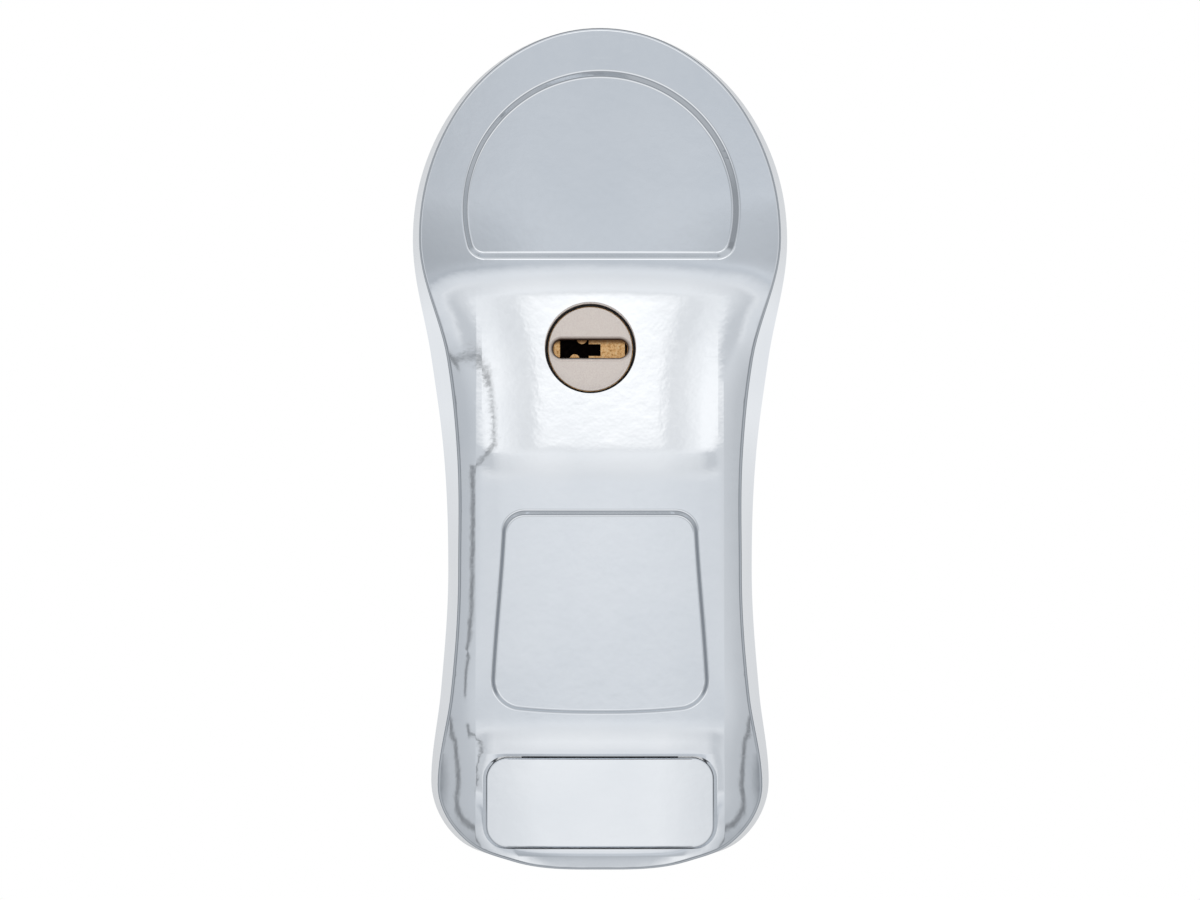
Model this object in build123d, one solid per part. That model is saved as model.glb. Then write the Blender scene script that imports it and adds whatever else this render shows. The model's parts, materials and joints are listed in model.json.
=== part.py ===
from build123d import *
import math
import os

os.makedirs("parts", exist_ok=True)

# Toolbox lock with a push button, in millimetres.
# +Z up along the housing, -Y out of the door towards the hand, +Y into the box.
# The origin is on the plane where the housing's rim meets the door.
# Heights are set from the top and the bottom end, so a longer lock has a longer middle.

# Housing outline, seen from the front
half_height = 75.0
boss_half_width = 33.5
boss_z = half_height - 38.0
neck_half_width = 30.1
neck_z = half_height - 59.4
throat_half_width = 28.0
throat_z = -0.5
waist_half_width = 27.15
waist_z = -22.0
flank_half_width = 28.45
flank_z = -half_height + 31.5
foot_half_width = 30.2
foot_z = -half_height + 15.4
heel_x = 25.1
heel_z = -half_height + 4.7
toe_x = 17.3
toe_z = -half_height + 1.4

# Share of an inset that moves the heel's and the toe's points sideways and up
heel_share = (0.75, 0.66)
toe_share = (0.3, 0.95)

# How far the side walls lean in over the draft depth
draft_depth = 27.0
draft_reach = 1.25
boss_lean = 2.5
neck_lean = 4.9
foot_lean = 3.0
top_lean = 1.4
bottom_lean = 0.8

# Front surface, from the flat boss down the ramp to the button
boss_depth = 13.0
ramp_start_z = half_height - 45.0
ramp_end_z = half_height - 78.0
pad_end_z = -half_height + 25.0
ramp_angle = 9.5
pad_angle = 4.0
foot_angle = 9.0
ramp_bend = 35.0
pad_bend = 60.0
foot_bend = 40.0
face_edge_radius = 4.0

# Housing walls
rim_width = 5.5
skin = 3.0
groove_inset = 1.6
groove_width = 2.3
groove_depth = 1.5
gasket_relief = 0.05

# Shallow recesses in the front
dial_radius = 23.8
dial_z = half_height - 32.75
dial_flat_z = dial_z - 7.85
dial_corner = 2.2
dial_wall = 2.0
dial_depth = 1.0
pad_top_half = 17.3
pad_bottom_half = 19.4
pad_top_z = ramp_end_z - 8.1
pad_bottom_z = pad_end_z + 2.2
pad_top_corner = 3.6
pad_bottom_corner = 5.0
pad_depth = 0.9

# Key cylinder
lock_x = -1.7
lock_z = half_height - 57.6
face_radius = 7.45
face_hole_gap = 0.45
face_front = -12.9
face_thickness = 1.8
key_slot_length = 14.0
key_slot_height = 3.9
barrel_radius = 9.5
barrel_flat = 8.2
barrel_front = -11.0
barrel_rear = 6.0
bore_gap = 0.05
seal_thickness = 0.7
seal_radius = 8.1
seal_gap = 0.1
core_radius = 6.5
lock_boss_radius = 13.0
washer_thickness = 1.0
washer_radius = 12.0
nut_thickness = 3.0
nut_across_flats = 22.0
keyway_left = -5.4
keyway_right = 1.8
keyway_half_height = 1.8
keyway_depth = 13.5
keyway_rib = 0.9
upper_rib_x = 3.9
lower_rib_x = 2.6
wafer_count = 6
wafer_pitch = 2.0
wafer_thickness = 0.9
wafer_half_width = 6.0
wafer_half_height = 2.2
wafer_start = 2.1
wafer_gap = 0.05
wafer_spring_radius = 0.4
wafer_lug_left = 1.6
wafer_lug_right = 2.5
wafer_lug_top = 3.4
wafer_spring_end = 5.5
wafer_window_overlap = 0.4
plug_face_edge = 0.2

# Crank on the back of the key cylinder
crank_radius = 5.6
crank_thickness = 3.0
crank_hub_radius = 5.5
crank_eye_radius = 3.6
crank_gap = 0.2
crank_pin_radius = 1.75
crank_pin_past = 1.0
crank_rest_angle = -45.0
tail_side = 5.6
tail_gap = 0.05
crank_screw_head_radius = 3.3
crank_screw_head_height = 0.5
crank_screw_length = 6.0

# Push button
button_width = 40.1
button_height = 15.7
button_z = -half_height + 11.6
button_corner = 3.8
button_side_gap = 0.4
button_end_gap = 0.25
button_wall = 1.6
button_face = 2.5
button_travel = 5.0
button_rear = -10.2
button_lip = 1.5
button_lip_thickness = 1.5
button_guide_wall = 2.0
button_room = 3.0
slider_thickness = 2.0
slider_half_width = 20.0
slider_bottom = button_z - 6.6
slider_top = button_z + 6.6
slider_neck_half_width = 8.0
slider_neck_bottom = button_z + 2.4
slider_neck_top = button_z + 6.4
slider_screw_x = 4.0
slider_screw_z = button_z - 3.0
screw_post_radius = 2.9
button_screw_length = 6.0
slider_spring_gap = 0.5
slider_screw_gap = 0.1
button_spring_x = 12.0
button_spring_radius = 3.0
button_spring_wire = 0.7
spring_peg_radius = 2.0
spring_peg_height = 4.0
buffer_x = 17.5
buffer_radius = 2.5
buffer_gap = 0.1

# Latch hook and its pivot
pivot_y = 24.8
pivot_z = button_z + 27.4
pivot_radius = 3.0
pivot_head_radius = 4.5
pin_gap = 0.05
hook_half_thickness = 2.5
hook_hub_radius = 6.5
toe_radius = 3.0
toe_gap = 0.3
toe_drop = 14.0
toe_step = 2.5
lug_length = 4.0
lug_rise = 10.5
arm_slope_y = 15.0
arm_slope_z = 3.5
arm_end_z = 1.0
nose_length = 4.5
throat_undercut = 0.3
tail_rear_y = 1.0
hook_angle = 18.6
arm_reach = 22.5
throat_roof = -4.0
nose_tip = -9.5
throat_start = 6.0
throat_end = 15.5
stop_pin_radius = 2.0
stop_pin_y = 2.9
stop_pin_z = 9.2
stop_pin_gap = 0.3
spacer_radius = 5.0
side_play = 0.2
pin_overhang = 2.0
clip_thickness = 0.8
clip_radius = 5.5
clip_groove = 0.5
clip_gap = 0.1
clip_mouth = 4.25
clip_bore_gap = 0.02
torsion_wire = 1.3
torsion_inner = 5.3
torsion_relief = 0.05
arm_leg_length = 10.5

# Case behind the housing
case_thickness = 2.0
case_half_width = 14.0
case_top = lock_z + 23.6
case_foot_half_width = 20.0
case_foot_top = button_z + 8.4
case_foot_bottom = button_z - 3.1
case_corner = 3.0
case_screw_x = 10.4
case_screw_top_z = lock_z + 18.6
case_screw_bottom_z = button_z + 12.4
case_screw_length = 10.0
case_boss_radius = 4.0
case_hole_gap = 0.75
cheek_inner = 11.0
cheek_thickness = 2.0
cheek_bottom = pivot_z - 10.0
cheek_top = pivot_z + 13.5
cheek_rear = 31.0
cheek_corner = 5.0
window_gap = 0.8

# Lock bar and its carrier
bar_front = 9.8
bar_thickness = 2.0
bar_half_width = 8.5
bar_bottom = pivot_z - 17.0
bar_waist_half_width = 5.0
bar_wide_top = pivot_z
bar_head_right = 10.0
bar_head_bottom = lock_z - 9.4
bar_head_top = lock_z + 2.6
bar_slot_gap = 0.3
carrier_gap = 0.1
carrier_thickness = 2.0
carrier_top = pivot_z - 0.5
rivet_x = 5.5
rivet_z = pivot_z - 5.0
rivet_radius = 1.5
rivet_head_radius = 2.3
rivet_head_height = 1.2
carrier_screw_x = 4.5
carrier_screw_radius = 1.1
carrier_screw_head_radius = 1.95
carrier_screw_head_height = 1.2
carrier_screw_length = 6.0

# Studs that hold the lock on the door
stud_x = 20.5
stud_top_z = half_height - 25.0
stud_bottom_z = -half_height + 37.0
stud_radius = 3.0
stud_depth = 9.5
stud_root_radius = 3.4
stud_length = 16.0
stud_boss_radius = 5.0

# Small screws
m3_radius = 1.5
m3_head_radius = 2.75
m3_head_height = 1.6
m4_radius = 2.0
m4_head_radius = 3.5
m4_head_height = 2.4
m4_hole_gap = 0.2
screw_end_gap = 0.5
thread_gap = 0.05

# Clearance that lets a cut run past the faces it opens
past = 5.0


def face_at(y, sketch):
    """The sketch, drawn in x and z, on the plane at this y and facing the hand."""
    return Plane.XZ.offset(-y) * sketch


def prism(sketch, front, rear):
    """A sketch in x and z, given thickness between two depths."""
    return extrude(face_at(rear, sketch), rear - front)


def rod(radius, front, rear, x, z):
    """A round bar along Y."""
    return prism(Pos(x, z) * Circle(radius), front, rear)


def block(x0, x1, front, rear, z0, z1):
    return prism(span(x0, x1, z0, z1), front, rear)


def span(x0, x1, z0, z1):
    """A rectangle in x and z, from its edges."""
    return Pos((x0 + x1) / 2, (z0 + z1) / 2) * Rectangle(x1 - x0, z1 - z0)


def cross_plate(sketch, x0, x1):
    """A sketch in y and z, given thickness along X."""
    return extrude(Plane.YZ.offset(x0) * sketch, x1 - x0)


def cross_rod(radius, x0, x1, y, z):
    """A round bar along X."""
    return cross_plate(Pos(y, z) * Circle(radius), x0, x1)


def save(solid, name):
    export_step(solid, f"parts/{name}.step")


def outline(inset=0.0, lean=0.0):
    """The hourglass outline, drawn in by an even inset and by the walls' lean."""
    boss = boss_half_width - inset - lean * boss_lean
    top = half_height - inset - lean * top_lean
    narrow = inset + lean * neck_lean
    foot = foot_half_width - inset - lean * foot_lean
    bottom = -half_height + inset + lean * bottom_lean
    waist = waist_half_width - narrow
    dome = EllipticalCenterArc((0, boss_z), boss, top - boss_z, start_angle=0, arc_size=180)
    neck = Spline(
        (boss, boss_z),
        (neck_half_width - narrow, neck_z),
        (throat_half_width - narrow, throat_z),
        (waist, waist_z),
        tangents=[(0, -1), (0, -1)],
    )
    flank = Spline(
        (waist, waist_z),
        (flank_half_width - narrow, flank_z),
        (foot, foot_z),
        tangents=[(0, -1), (0, -1)],
    )
    corner_lean = (foot_half_width - foot - inset, bottom + half_height - inset)
    heel_in = [share * inset + lean_in for share, lean_in in zip(heel_share, corner_lean)]
    toe_in = [share * inset + lean_in for share, lean_in in zip(toe_share, corner_lean)]
    heel = Spline(
        (foot, foot_z),
        (heel_x - heel_in[0], heel_z + heel_in[1]),
        (toe_x - toe_in[0], toe_z + toe_in[1]),
        (0, bottom),
        tangents=[(0, -1), (-1, 0)],
    )
    right = [neck, flank, heel]
    left = [mirror(edge, Plane.YZ) for edge in right]
    return make_face((Curve() + [dome] + right + left).edges())


def ramp_points():
    """The corners of the front surface's side view, as depth and height."""
    pad_depth_there = boss_depth + (ramp_start_z - ramp_end_z) * math.tan(math.radians(ramp_angle))
    foot_depth = pad_depth_there + (ramp_end_z - pad_end_z) * math.tan(math.radians(pad_angle))
    low = -half_height - past
    low_depth = foot_depth + (pad_end_z - low) * math.tan(math.radians(foot_angle))
    return [
        (-boss_depth, half_height + past),
        (-boss_depth, ramp_start_z),
        (-pad_depth_there, ramp_end_z),
        (-foot_depth, pad_end_z),
        (-low_depth, low),
    ]


def front_mass(sunk=0.0):
    """All that lies behind the front surface, sunk by this much."""
    corners = ramp_points()
    line = FilletPolyline(*corners, radius=[ramp_bend, pad_bend, foot_bend])
    back = Polyline(corners[-1], (past, corners[-1][1]), (past, corners[0][1]), corners[0])
    side = make_face((line + back).edges())
    return Pos(0, sunk, 0) * cross_plate(side, -boss_half_width - past, boss_half_width + past)


def surface_depth(z):
    """Depth of the front surface at a height, without its bends."""
    corners = ramp_points()
    for upper, lower in zip(corners, corners[1:]):
        if lower[1] <= z:
            share = (upper[1] - z) / (upper[1] - lower[1])
            return -(upper[0] + share * (lower[0] - upper[0]))
    return -corners[-1][0]


def outer_form():
    """The housing's outside, filleted round its front edge."""
    far = face_at(-draft_reach * draft_depth, outline(lean=draft_reach))
    walls = loft([face_at(0, outline()), far], ruled=True)
    form = walls & front_mass()
    edges = [edge for edge in form.edges() if edge.bounding_box().max.Y < -skin]
    return fillet(edges, face_edge_radius)


def dial_shape(grow):
    """The D of the round recess."""
    low = dial_flat_z - grow
    top = dial_z + dial_radius + grow
    half = dial_radius + grow
    shape = Pos(0, dial_z) * Circle(half) & Pos(0, (low + top) / 2) * Rectangle(2 * half, top - low)
    return fillet(shape.vertices().sort_by(Axis.Y)[:2], dial_corner + grow)


def pad_shape():
    """The thumb pad's outline, wider at the bottom."""
    corners = [
        (-pad_bottom_half, pad_bottom_z),
        (pad_bottom_half, pad_bottom_z),
        (pad_top_half, pad_top_z),
        (-pad_top_half, pad_top_z),
    ]
    shape = make_face(Polyline(*corners, close=True))
    low = fillet(shape.vertices().sort_by(Axis.Y)[:2], pad_bottom_corner)
    return fillet(low.vertices().group_by(Axis.Y)[-1], pad_top_corner)


def button_shape(side=0.0, end=0.0):
    return Pos(0, button_z) * RectangleRounded(
        button_width + 2 * side, button_height + 2 * end, button_corner + min(side, end)
    )


def barrel_section(gap):
    """A round with two flats, which keep the barrel from turning."""
    width = 2 * (barrel_flat + gap)
    radius = barrel_radius + gap
    return Pos(lock_x, lock_z) * (Circle(radius) & Rectangle(width, 2 * radius))


def tail_section(gap):
    """The plug's square tail, with a flat towards the crank's pin."""
    side = tail_side + 2 * gap
    return Pos(lock_x, lock_z) * Rectangle(side, side, rotation=crank_rest_angle)


def mirrored(points):
    """Each point and its twin across the middle."""
    return [(side * x, z) for x, z in points for side in (-1, 1)]


def ring(outer, inner, front, rear, x, z):
    return rod(outer, front, rear, x, z) - rod(inner, front - past, rear + past, x, z)


form = outer_form()
stud_places = mirrored([(stud_x, stud_top_z), (stud_x, stud_bottom_z)])
case_screw_places = mirrored([(case_screw_x, case_screw_top_z), (case_screw_x, case_screw_bottom_z)])
seal_seat = barrel_front - seal_thickness
boss_end = -(washer_thickness + nut_thickness)
guide_end = button_rear - button_lip_thickness
front_past = -draft_depth - past

# Front housing: a die casting, hollow behind
cavity = prism(outline(rim_width), front_past, past) & front_mass(skin)
housing = form - cavity
for x, z in stud_places:
    housing += rod(stud_boss_radius, -boss_depth + skin / 2, 0, x, z) & form
for x, z in case_screw_places:
    housing += rod(case_boss_radius, -surface_depth(z) + skin / 2, 0, x, z) & form
housing += rod(lock_boss_radius, -surface_depth(lock_z) + skin / 2, boss_end, lock_x, lock_z) & form
guide_side = button_side_gap + button_guide_wall
guide_end_wall = button_end_gap + button_guide_wall
housing += prism(button_shape(guide_side, guide_end_wall), front_past, guide_end) & form
housing -= prism(button_shape(button_side_gap, button_end_gap), front_past, -button_room)
housing -= prism(
    button_shape(button_side_gap + button_lip, button_end_gap), guide_end, -button_room
)
housing -= rod(face_radius + face_hole_gap, front_past, barrel_front, lock_x, lock_z)
housing -= rod(seal_radius, seal_seat, barrel_front, lock_x, lock_z)
housing -= prism(barrel_section(bore_gap), barrel_front, past)
for x, z in stud_places:
    housing -= rod(stud_root_radius + thread_gap, -stud_depth, past, x, z)
for x, z in case_screw_places:
    housing -= rod(m4_radius + thread_gap, -case_screw_length, past, x, z)
dial_cut = loft(
    [
        face_at(-boss_depth + dial_depth, dial_shape(0)),
        face_at(-boss_depth, dial_shape(dial_wall)),
    ],
    ruled=True,
)
housing -= dial_cut
pad_cut = prism(pad_shape(), front_past, -boss_depth) - front_mass(pad_depth)
housing -= pad_cut
groove = outline(groove_inset) - outline(groove_inset + groove_width)
housing -= prism(groove, -groove_depth, past)
save(housing, "front_housing")

# Gasket in the rim's groove, flush with the rim
gasket = prism(
    outline(groove_inset + gasket_relief) - outline(groove_inset + groove_width - gasket_relief),
    -groove_depth,
    0,
)
save(gasket, "rim_gasket")

# Mounting studs, each with a thicker root pressed into its boss
studs = []
for x, z in stud_places:
    stud = rod(stud_radius, 0, stud_length, x, z)
    stud = chamfer(stud.edges().sort_by(Axis.Y)[-1], stud_radius / 4)
    studs.append(stud + rod(stud_root_radius, -stud_depth, 0, x, z))
save(Compound(children=studs), "mounting_studs")

# Key cylinder: barrel, seal, washer and ring nut, which stay still
barrel = prism(barrel_section(0), barrel_front, barrel_rear)
barrel -= rod(core_radius + bore_gap, barrel_front - past, barrel_rear + past, lock_x, lock_z)
save(barrel, "cylinder_barrel")
seal = ring(seal_radius, face_radius + seal_gap, seal_seat, barrel_front, lock_x, lock_z)
save(seal, "cylinder_seal")
washer = rod(washer_radius, boss_end, boss_end + washer_thickness, lock_x, lock_z)
washer -= prism(barrel_section(bore_gap), boss_end - past, past)
save(washer, "cylinder_washer")
hexagon = Pos(lock_x, lock_z) * RegularPolygon(nut_across_flats / 2, 6, major_radius=False, rotation=0)
nut = prism(hexagon, -nut_thickness, 0)
nut -= rod(barrel_radius + bore_gap, -nut_thickness - past, past, lock_x, lock_z)
save(nut, "cylinder_nut")

# Key plug: nickel face, brass core, wafers and their springs
face_rear = face_front + face_thickness
plug_face = rod(face_radius, face_front, face_rear, lock_x, lock_z)
plug_face -= prism(
    Pos(lock_x, lock_z) * SlotOverall(key_slot_length, key_slot_height), face_front - past, past
)
plug_face = fillet(plug_face.edges().group_by(Axis.Y)[0], plug_face_edge)
save(plug_face, "plug_face")

crank_front = barrel_rear + crank_gap
crank_rear = crank_front + crank_thickness
tail_rear = crank_rear - crank_gap
core = rod(core_radius, face_rear, barrel_rear, lock_x, lock_z)
core += prism(tail_section(0), barrel_rear, tail_rear)
keyway = span(keyway_left, keyway_right, -keyway_half_height, keyway_half_height)
keyway -= Pos(keyway_left + upper_rib_x, keyway_half_height) * Circle(keyway_rib)
keyway -= Pos(keyway_left + lower_rib_x, -keyway_half_height) * Circle(keyway_rib)
core -= prism(Pos(lock_x, lock_z) * keyway, face_rear - past, face_rear + keyway_depth)
wafer_places = [face_rear + wafer_start + n * wafer_pitch for n in range(wafer_count)]
wafer_slot = Rectangle(2 * core_radius, 2 * (wafer_half_height + wafer_gap))
wafer_slot += span(
    wafer_lug_left - wafer_gap,
    wafer_spring_end + wafer_gap,
    wafer_half_height,
    wafer_lug_top + wafer_gap,
)
wafer_shape = Rectangle(2 * wafer_half_width, 2 * wafer_half_height)
wafer_shape += span(wafer_lug_left, wafer_lug_right, 0, wafer_lug_top)
window_half = keyway_half_height - wafer_window_overlap
wafer_shape -= span(keyway_left, keyway_right, -window_half, window_half)
wafers = []
wafer_springs = []
for y in wafer_places:
    core -= prism(Pos(lock_x, lock_z) * wafer_slot, y - wafer_gap, y + wafer_thickness + wafer_gap)
    wafers.append(prism(Pos(lock_x, lock_z) * wafer_shape, y, y + wafer_thickness))
    spring_y = y + wafer_thickness / 2
    spring_z = lock_z + (wafer_half_height + wafer_lug_top) / 2
    spring_left = lock_x + wafer_lug_right
    spring_right = lock_x + wafer_spring_end
    wafer_springs.append(
        cross_rod(wafer_spring_radius, spring_left, spring_right, spring_y, spring_z)
    )
core -= rod(m3_radius + thread_gap, tail_rear - crank_screw_length, tail_rear + past, lock_x, lock_z)
save(core, "plug_core")
save(Compound(children=wafers), "plug_wafers")
save(Compound(children=wafer_springs), "wafer_springs")

# Crank on the plug's tail, with its pin and screw
pin_dx = crank_radius * math.cos(math.radians(crank_rest_angle))
pin_dz = crank_radius * math.sin(math.radians(crank_rest_angle))
crank_pin_x = lock_x + pin_dx
crank_pin_z = lock_z + pin_dz
crank_rounds = Pos(lock_x, lock_z) * Circle(crank_hub_radius)
crank_rounds += Pos(crank_pin_x, crank_pin_z) * Circle(crank_eye_radius)
crank_outline = make_hull(crank_rounds.edges())
bar_rear = bar_front + bar_thickness
crank = prism(crank_outline, crank_front, crank_rear)
crank -= prism(tail_section(tail_gap), crank_front - past, crank_rear + past)
crank -= rod(crank_pin_radius, crank_front - past, crank_rear + past, crank_pin_x, crank_pin_z)
save(crank, "cam_crank")
crank_pin_end = bar_rear + button_travel + crank_pin_past
crank_pin = rod(crank_pin_radius, crank_front, crank_pin_end, crank_pin_x, crank_pin_z)
crank_pin = chamfer(crank_pin.edges().sort_by(Axis.Y)[-1], crank_pin_radius / 4)
save(crank_pin, "crank_pin")
crank_screw = rod(m3_radius, tail_rear - crank_screw_length, crank_rear, lock_x, lock_z)
crank_screw += rod(
    crank_screw_head_radius, crank_rear, crank_rear + crank_screw_head_height, lock_x, lock_z
)
save(crank_screw, "crank_screw")

# Push button: a hollow cap behind the opening, flush with the housing's front
cap = prism(button_shape(), front_past, button_rear) & form
room = prism(button_shape(-button_wall, -button_wall), front_past, past) & front_mass(button_face)
cap -= room
cap += prism(button_shape(button_lip), guide_end, button_rear) - prism(
    button_shape(-button_wall, -button_wall), guide_end - past, past
)
slider_front = button_rear
slider_rear = slider_front + slider_thickness
slider_screws = mirrored([(slider_screw_x, slider_screw_z)])
for x, z in slider_screws:
    cap += rod(screw_post_radius, -surface_depth(z) + button_face / 2, button_rear, x, z)
    cap -= rod(m3_radius + thread_gap, button_rear - button_screw_length, past, x, z)
save(cap, "push_button")

# Slider behind the button: a plate, and a neck that runs through the case
carrier_front = bar_front - carrier_gap - carrier_thickness
slider = block(
    -slider_half_width, slider_half_width, slider_front, slider_rear, slider_bottom, slider_top
)
slider += block(
    -slider_neck_half_width,
    slider_neck_half_width,
    slider_rear,
    carrier_front,
    slider_neck_bottom,
    slider_neck_top,
)
spring_places = mirrored([(button_spring_x, button_z)])
for x, z in spring_places:
    slider -= rod(
        button_spring_radius + slider_spring_gap, slider_front - past, slider_rear + past, x, z
    )
for x, z in slider_screws:
    slider -= rod(m3_radius + slider_screw_gap, slider_front - past, slider_rear + past, x, z)
neck_z_mid = (slider_neck_bottom + slider_neck_top) / 2
carrier_screws = mirrored([(carrier_screw_x, neck_z_mid)])
for x, z in carrier_screws:
    slider -= rod(
        carrier_screw_radius + thread_gap, carrier_front - carrier_screw_length, past + bar_front, x, z
    )
save(slider, "button_slider")


def pan_screw(radius, head_radius, head_height, seat, length, x, z):
    """A screw with its head behind the seat and its shank towards the front."""
    head = rod(head_radius, seat, seat + head_height, x, z)
    head = fillet(head.edges().sort_by(Axis.Y)[-1], head_height / 3)
    return head + rod(radius, seat - length, seat, x, z)


screws = [
    pan_screw(
        m3_radius,
        m3_head_radius,
        m3_head_height,
        slider_rear,
        slider_thickness + button_screw_length,
        x,
        z,
    )
    for x, z in slider_screws
]
save(Compound(children=screws), "button_screws")

# Springs, pegs and buffers between the case and the button
spring_front = -surface_depth(button_z + button_spring_radius) + button_face
button_springs = []
pegs = []
for x, z in spring_places:
    button_springs.append(
        ring(button_spring_radius, button_spring_radius - button_spring_wire, spring_front, 0, x, z)
    )
    pegs.append(rod(spring_peg_radius, -spring_peg_height, case_thickness, x, z))
save(Compound(children=button_springs), "button_springs")
save(Compound(children=pegs), "spring_pegs")
buffer_front = slider_rear + button_travel + buffer_gap
buffers = [rod(buffer_radius, buffer_front, 0, x, z) for x, z in mirrored([(buffer_x, button_z)])]
save(Compound(children=buffers), "button_buffers")

# Carrier plate on the slider's neck, and the lock bar that slides up and down on it
lift = 2 * abs(pin_dz)
carrier_rear = carrier_front + carrier_thickness
carrier = block(
    -bar_half_width, bar_half_width, carrier_front, carrier_rear, slider_neck_bottom, carrier_top
)
rivet_places = mirrored([(rivet_x, rivet_z)])
for x, z in rivet_places:
    carrier -= rod(rivet_radius, carrier_front - past, carrier_rear + past, x, z)
for x, z in carrier_screws:
    carrier -= rod(
        carrier_screw_radius + slider_screw_gap, carrier_front - past, carrier_rear + past, x, z
    )
save(carrier, "bar_carrier")
screws = [
    pan_screw(
        carrier_screw_radius,
        carrier_screw_head_radius,
        carrier_screw_head_height,
        carrier_rear,
        carrier_thickness + carrier_screw_length,
        x,
        z,
    )
    for x, z in carrier_screws
]
save(Compound(children=screws), "carrier_screws")

bar_shape = span(-bar_half_width, bar_half_width, bar_bottom, bar_wide_top)
bar_shape += span(-bar_waist_half_width, bar_waist_half_width, bar_wide_top, bar_head_top)
bar_shape += span(-bar_waist_half_width, bar_head_right, bar_head_bottom, bar_head_top)
slot_half = crank_pin_radius + bar_slot_gap
slot_left = lock_x + pin_dx - slot_half
slot_right = lock_x + crank_radius + slot_half
bar_shape -= Pos((slot_left + slot_right) / 2, crank_pin_z) * SlotOverall(
    slot_right - slot_left, 2 * slot_half
)
rivet_slot_half = rivet_radius + bar_slot_gap
rivet_slot_top = rivet_z + rivet_slot_half
rivet_slot_bottom = rivet_z - lift - rivet_slot_half
for side in (-1, 1):
    bar_shape -= Pos(side * rivet_x, (rivet_slot_top + rivet_slot_bottom) / 2) * SlotOverall(
        rivet_slot_top - rivet_slot_bottom, 2 * rivet_slot_half, rotation=90
    )
save(prism(bar_shape, bar_front, bar_rear), "lock_bar")
rivets = []
for x, z in rivet_places:
    head_front = bar_rear + carrier_gap
    rivet = rod(rivet_radius, carrier_front, head_front, x, z)
    rivets.append(rivet + rod(rivet_head_radius, head_front, head_front + rivet_head_height, x, z))
save(Compound(children=rivets), "bar_rivets")

# Case: a plate on the housing's bosses, with two cheeks for the hook's pivot
plate = span(-case_half_width, case_half_width, case_foot_top, case_top)
plate += span(-case_foot_half_width, case_foot_half_width, case_foot_bottom, case_foot_top)
ends = plate.vertices().group_by(Axis.Y)
plate = fillet(ends[0] + ends[-1], case_corner)
case = prism(plate, 0, case_thickness)
cheek_outline = span(0, cheek_rear, cheek_bottom, cheek_top)
cheek_outline = fillet(cheek_outline.vertices().group_by(Axis.X)[-1], cheek_corner)
for x0 in (-cheek_inner - cheek_thickness, cheek_inner):
    case += cross_plate(cheek_outline, x0, x0 + cheek_thickness)
case -= rod(barrel_radius + case_hole_gap, -past, case_thickness + past, lock_x, lock_z)
case -= block(
    -slider_neck_half_width - window_gap,
    slider_neck_half_width + window_gap,
    -past,
    case_thickness + past,
    slider_neck_bottom - window_gap,
    slider_neck_top + window_gap,
)
for x, z in case_screw_places:
    case -= rod(m4_radius + m4_hole_gap, -past, case_thickness + past, x, z)
for x, z in spring_places:
    case -= rod(spring_peg_radius, -past, case_thickness + past, x, z)
pin_end = cheek_inner + cheek_thickness + pin_overhang
case -= cross_rod(pivot_radius + pin_gap, -pin_end, pin_end, pivot_y, pivot_z)
case -= cross_rod(stop_pin_radius, -pin_end, pin_end, pivot_y + stop_pin_y, pivot_z + stop_pin_z)
save(case, "lock_case")
screws = [
    pan_screw(
        m4_radius,
        m4_head_radius,
        m4_head_height,
        case_thickness,
        case_thickness + case_screw_length - screw_end_gap,
        x,
        z,
    )
    for x, z in case_screw_places
]
save(Compound(children=screws), "case_screws")

# Pivot pin with its clip, the stop pin and the spacers beside the hook
pivot_pin = cross_rod(pivot_radius, -cheek_inner - cheek_thickness, pin_end, pivot_y, pivot_z)
pivot_pin += cross_rod(
    pivot_head_radius, -pin_end, -cheek_inner - cheek_thickness, pivot_y, pivot_z
)
clip_x = cheek_inner + cheek_thickness + clip_gap
groove_ring = cross_rod(pivot_radius + past, clip_x, clip_x + clip_thickness, pivot_y, pivot_z)
groove_ring -= cross_rod(pivot_radius - clip_groove, clip_x - past, clip_x + past, pivot_y, pivot_z)
pivot_pin -= groove_ring
save(pivot_pin, "pivot_pin")
clip = cross_rod(clip_radius, clip_x, clip_x + clip_thickness, pivot_y, pivot_z)
clip_bore = pivot_radius - clip_groove + clip_bore_gap
clip -= cross_rod(clip_bore, clip_x - past, clip_x + past, pivot_y, pivot_z)
mouth = Pos(pivot_y + clip_radius / 2, pivot_z) * Rectangle(clip_radius, clip_mouth)
clip -= cross_plate(mouth, clip_x - past, clip_x + past)
save(clip, "pivot_clip")
stop_pin = cross_rod(
    stop_pin_radius,
    -cheek_inner - cheek_thickness,
    cheek_inner + cheek_thickness,
    pivot_y + stop_pin_y,
    pivot_z + stop_pin_z,
)
save(stop_pin, "hook_stop_pin")
spacers = []
for x0, x1 in (
    (-cheek_inner + side_play, -hook_half_thickness - side_play),
    (hook_half_thickness + side_play, cheek_inner - side_play),
):
    spacer = cross_rod(spacer_radius, x0, x1, pivot_y, pivot_z)
    spacers.append(spacer - cross_rod(pivot_radius + pin_gap, x0 - past, x1 + past, pivot_y, pivot_z))
save(Compound(children=spacers), "pivot_spacers")

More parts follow.
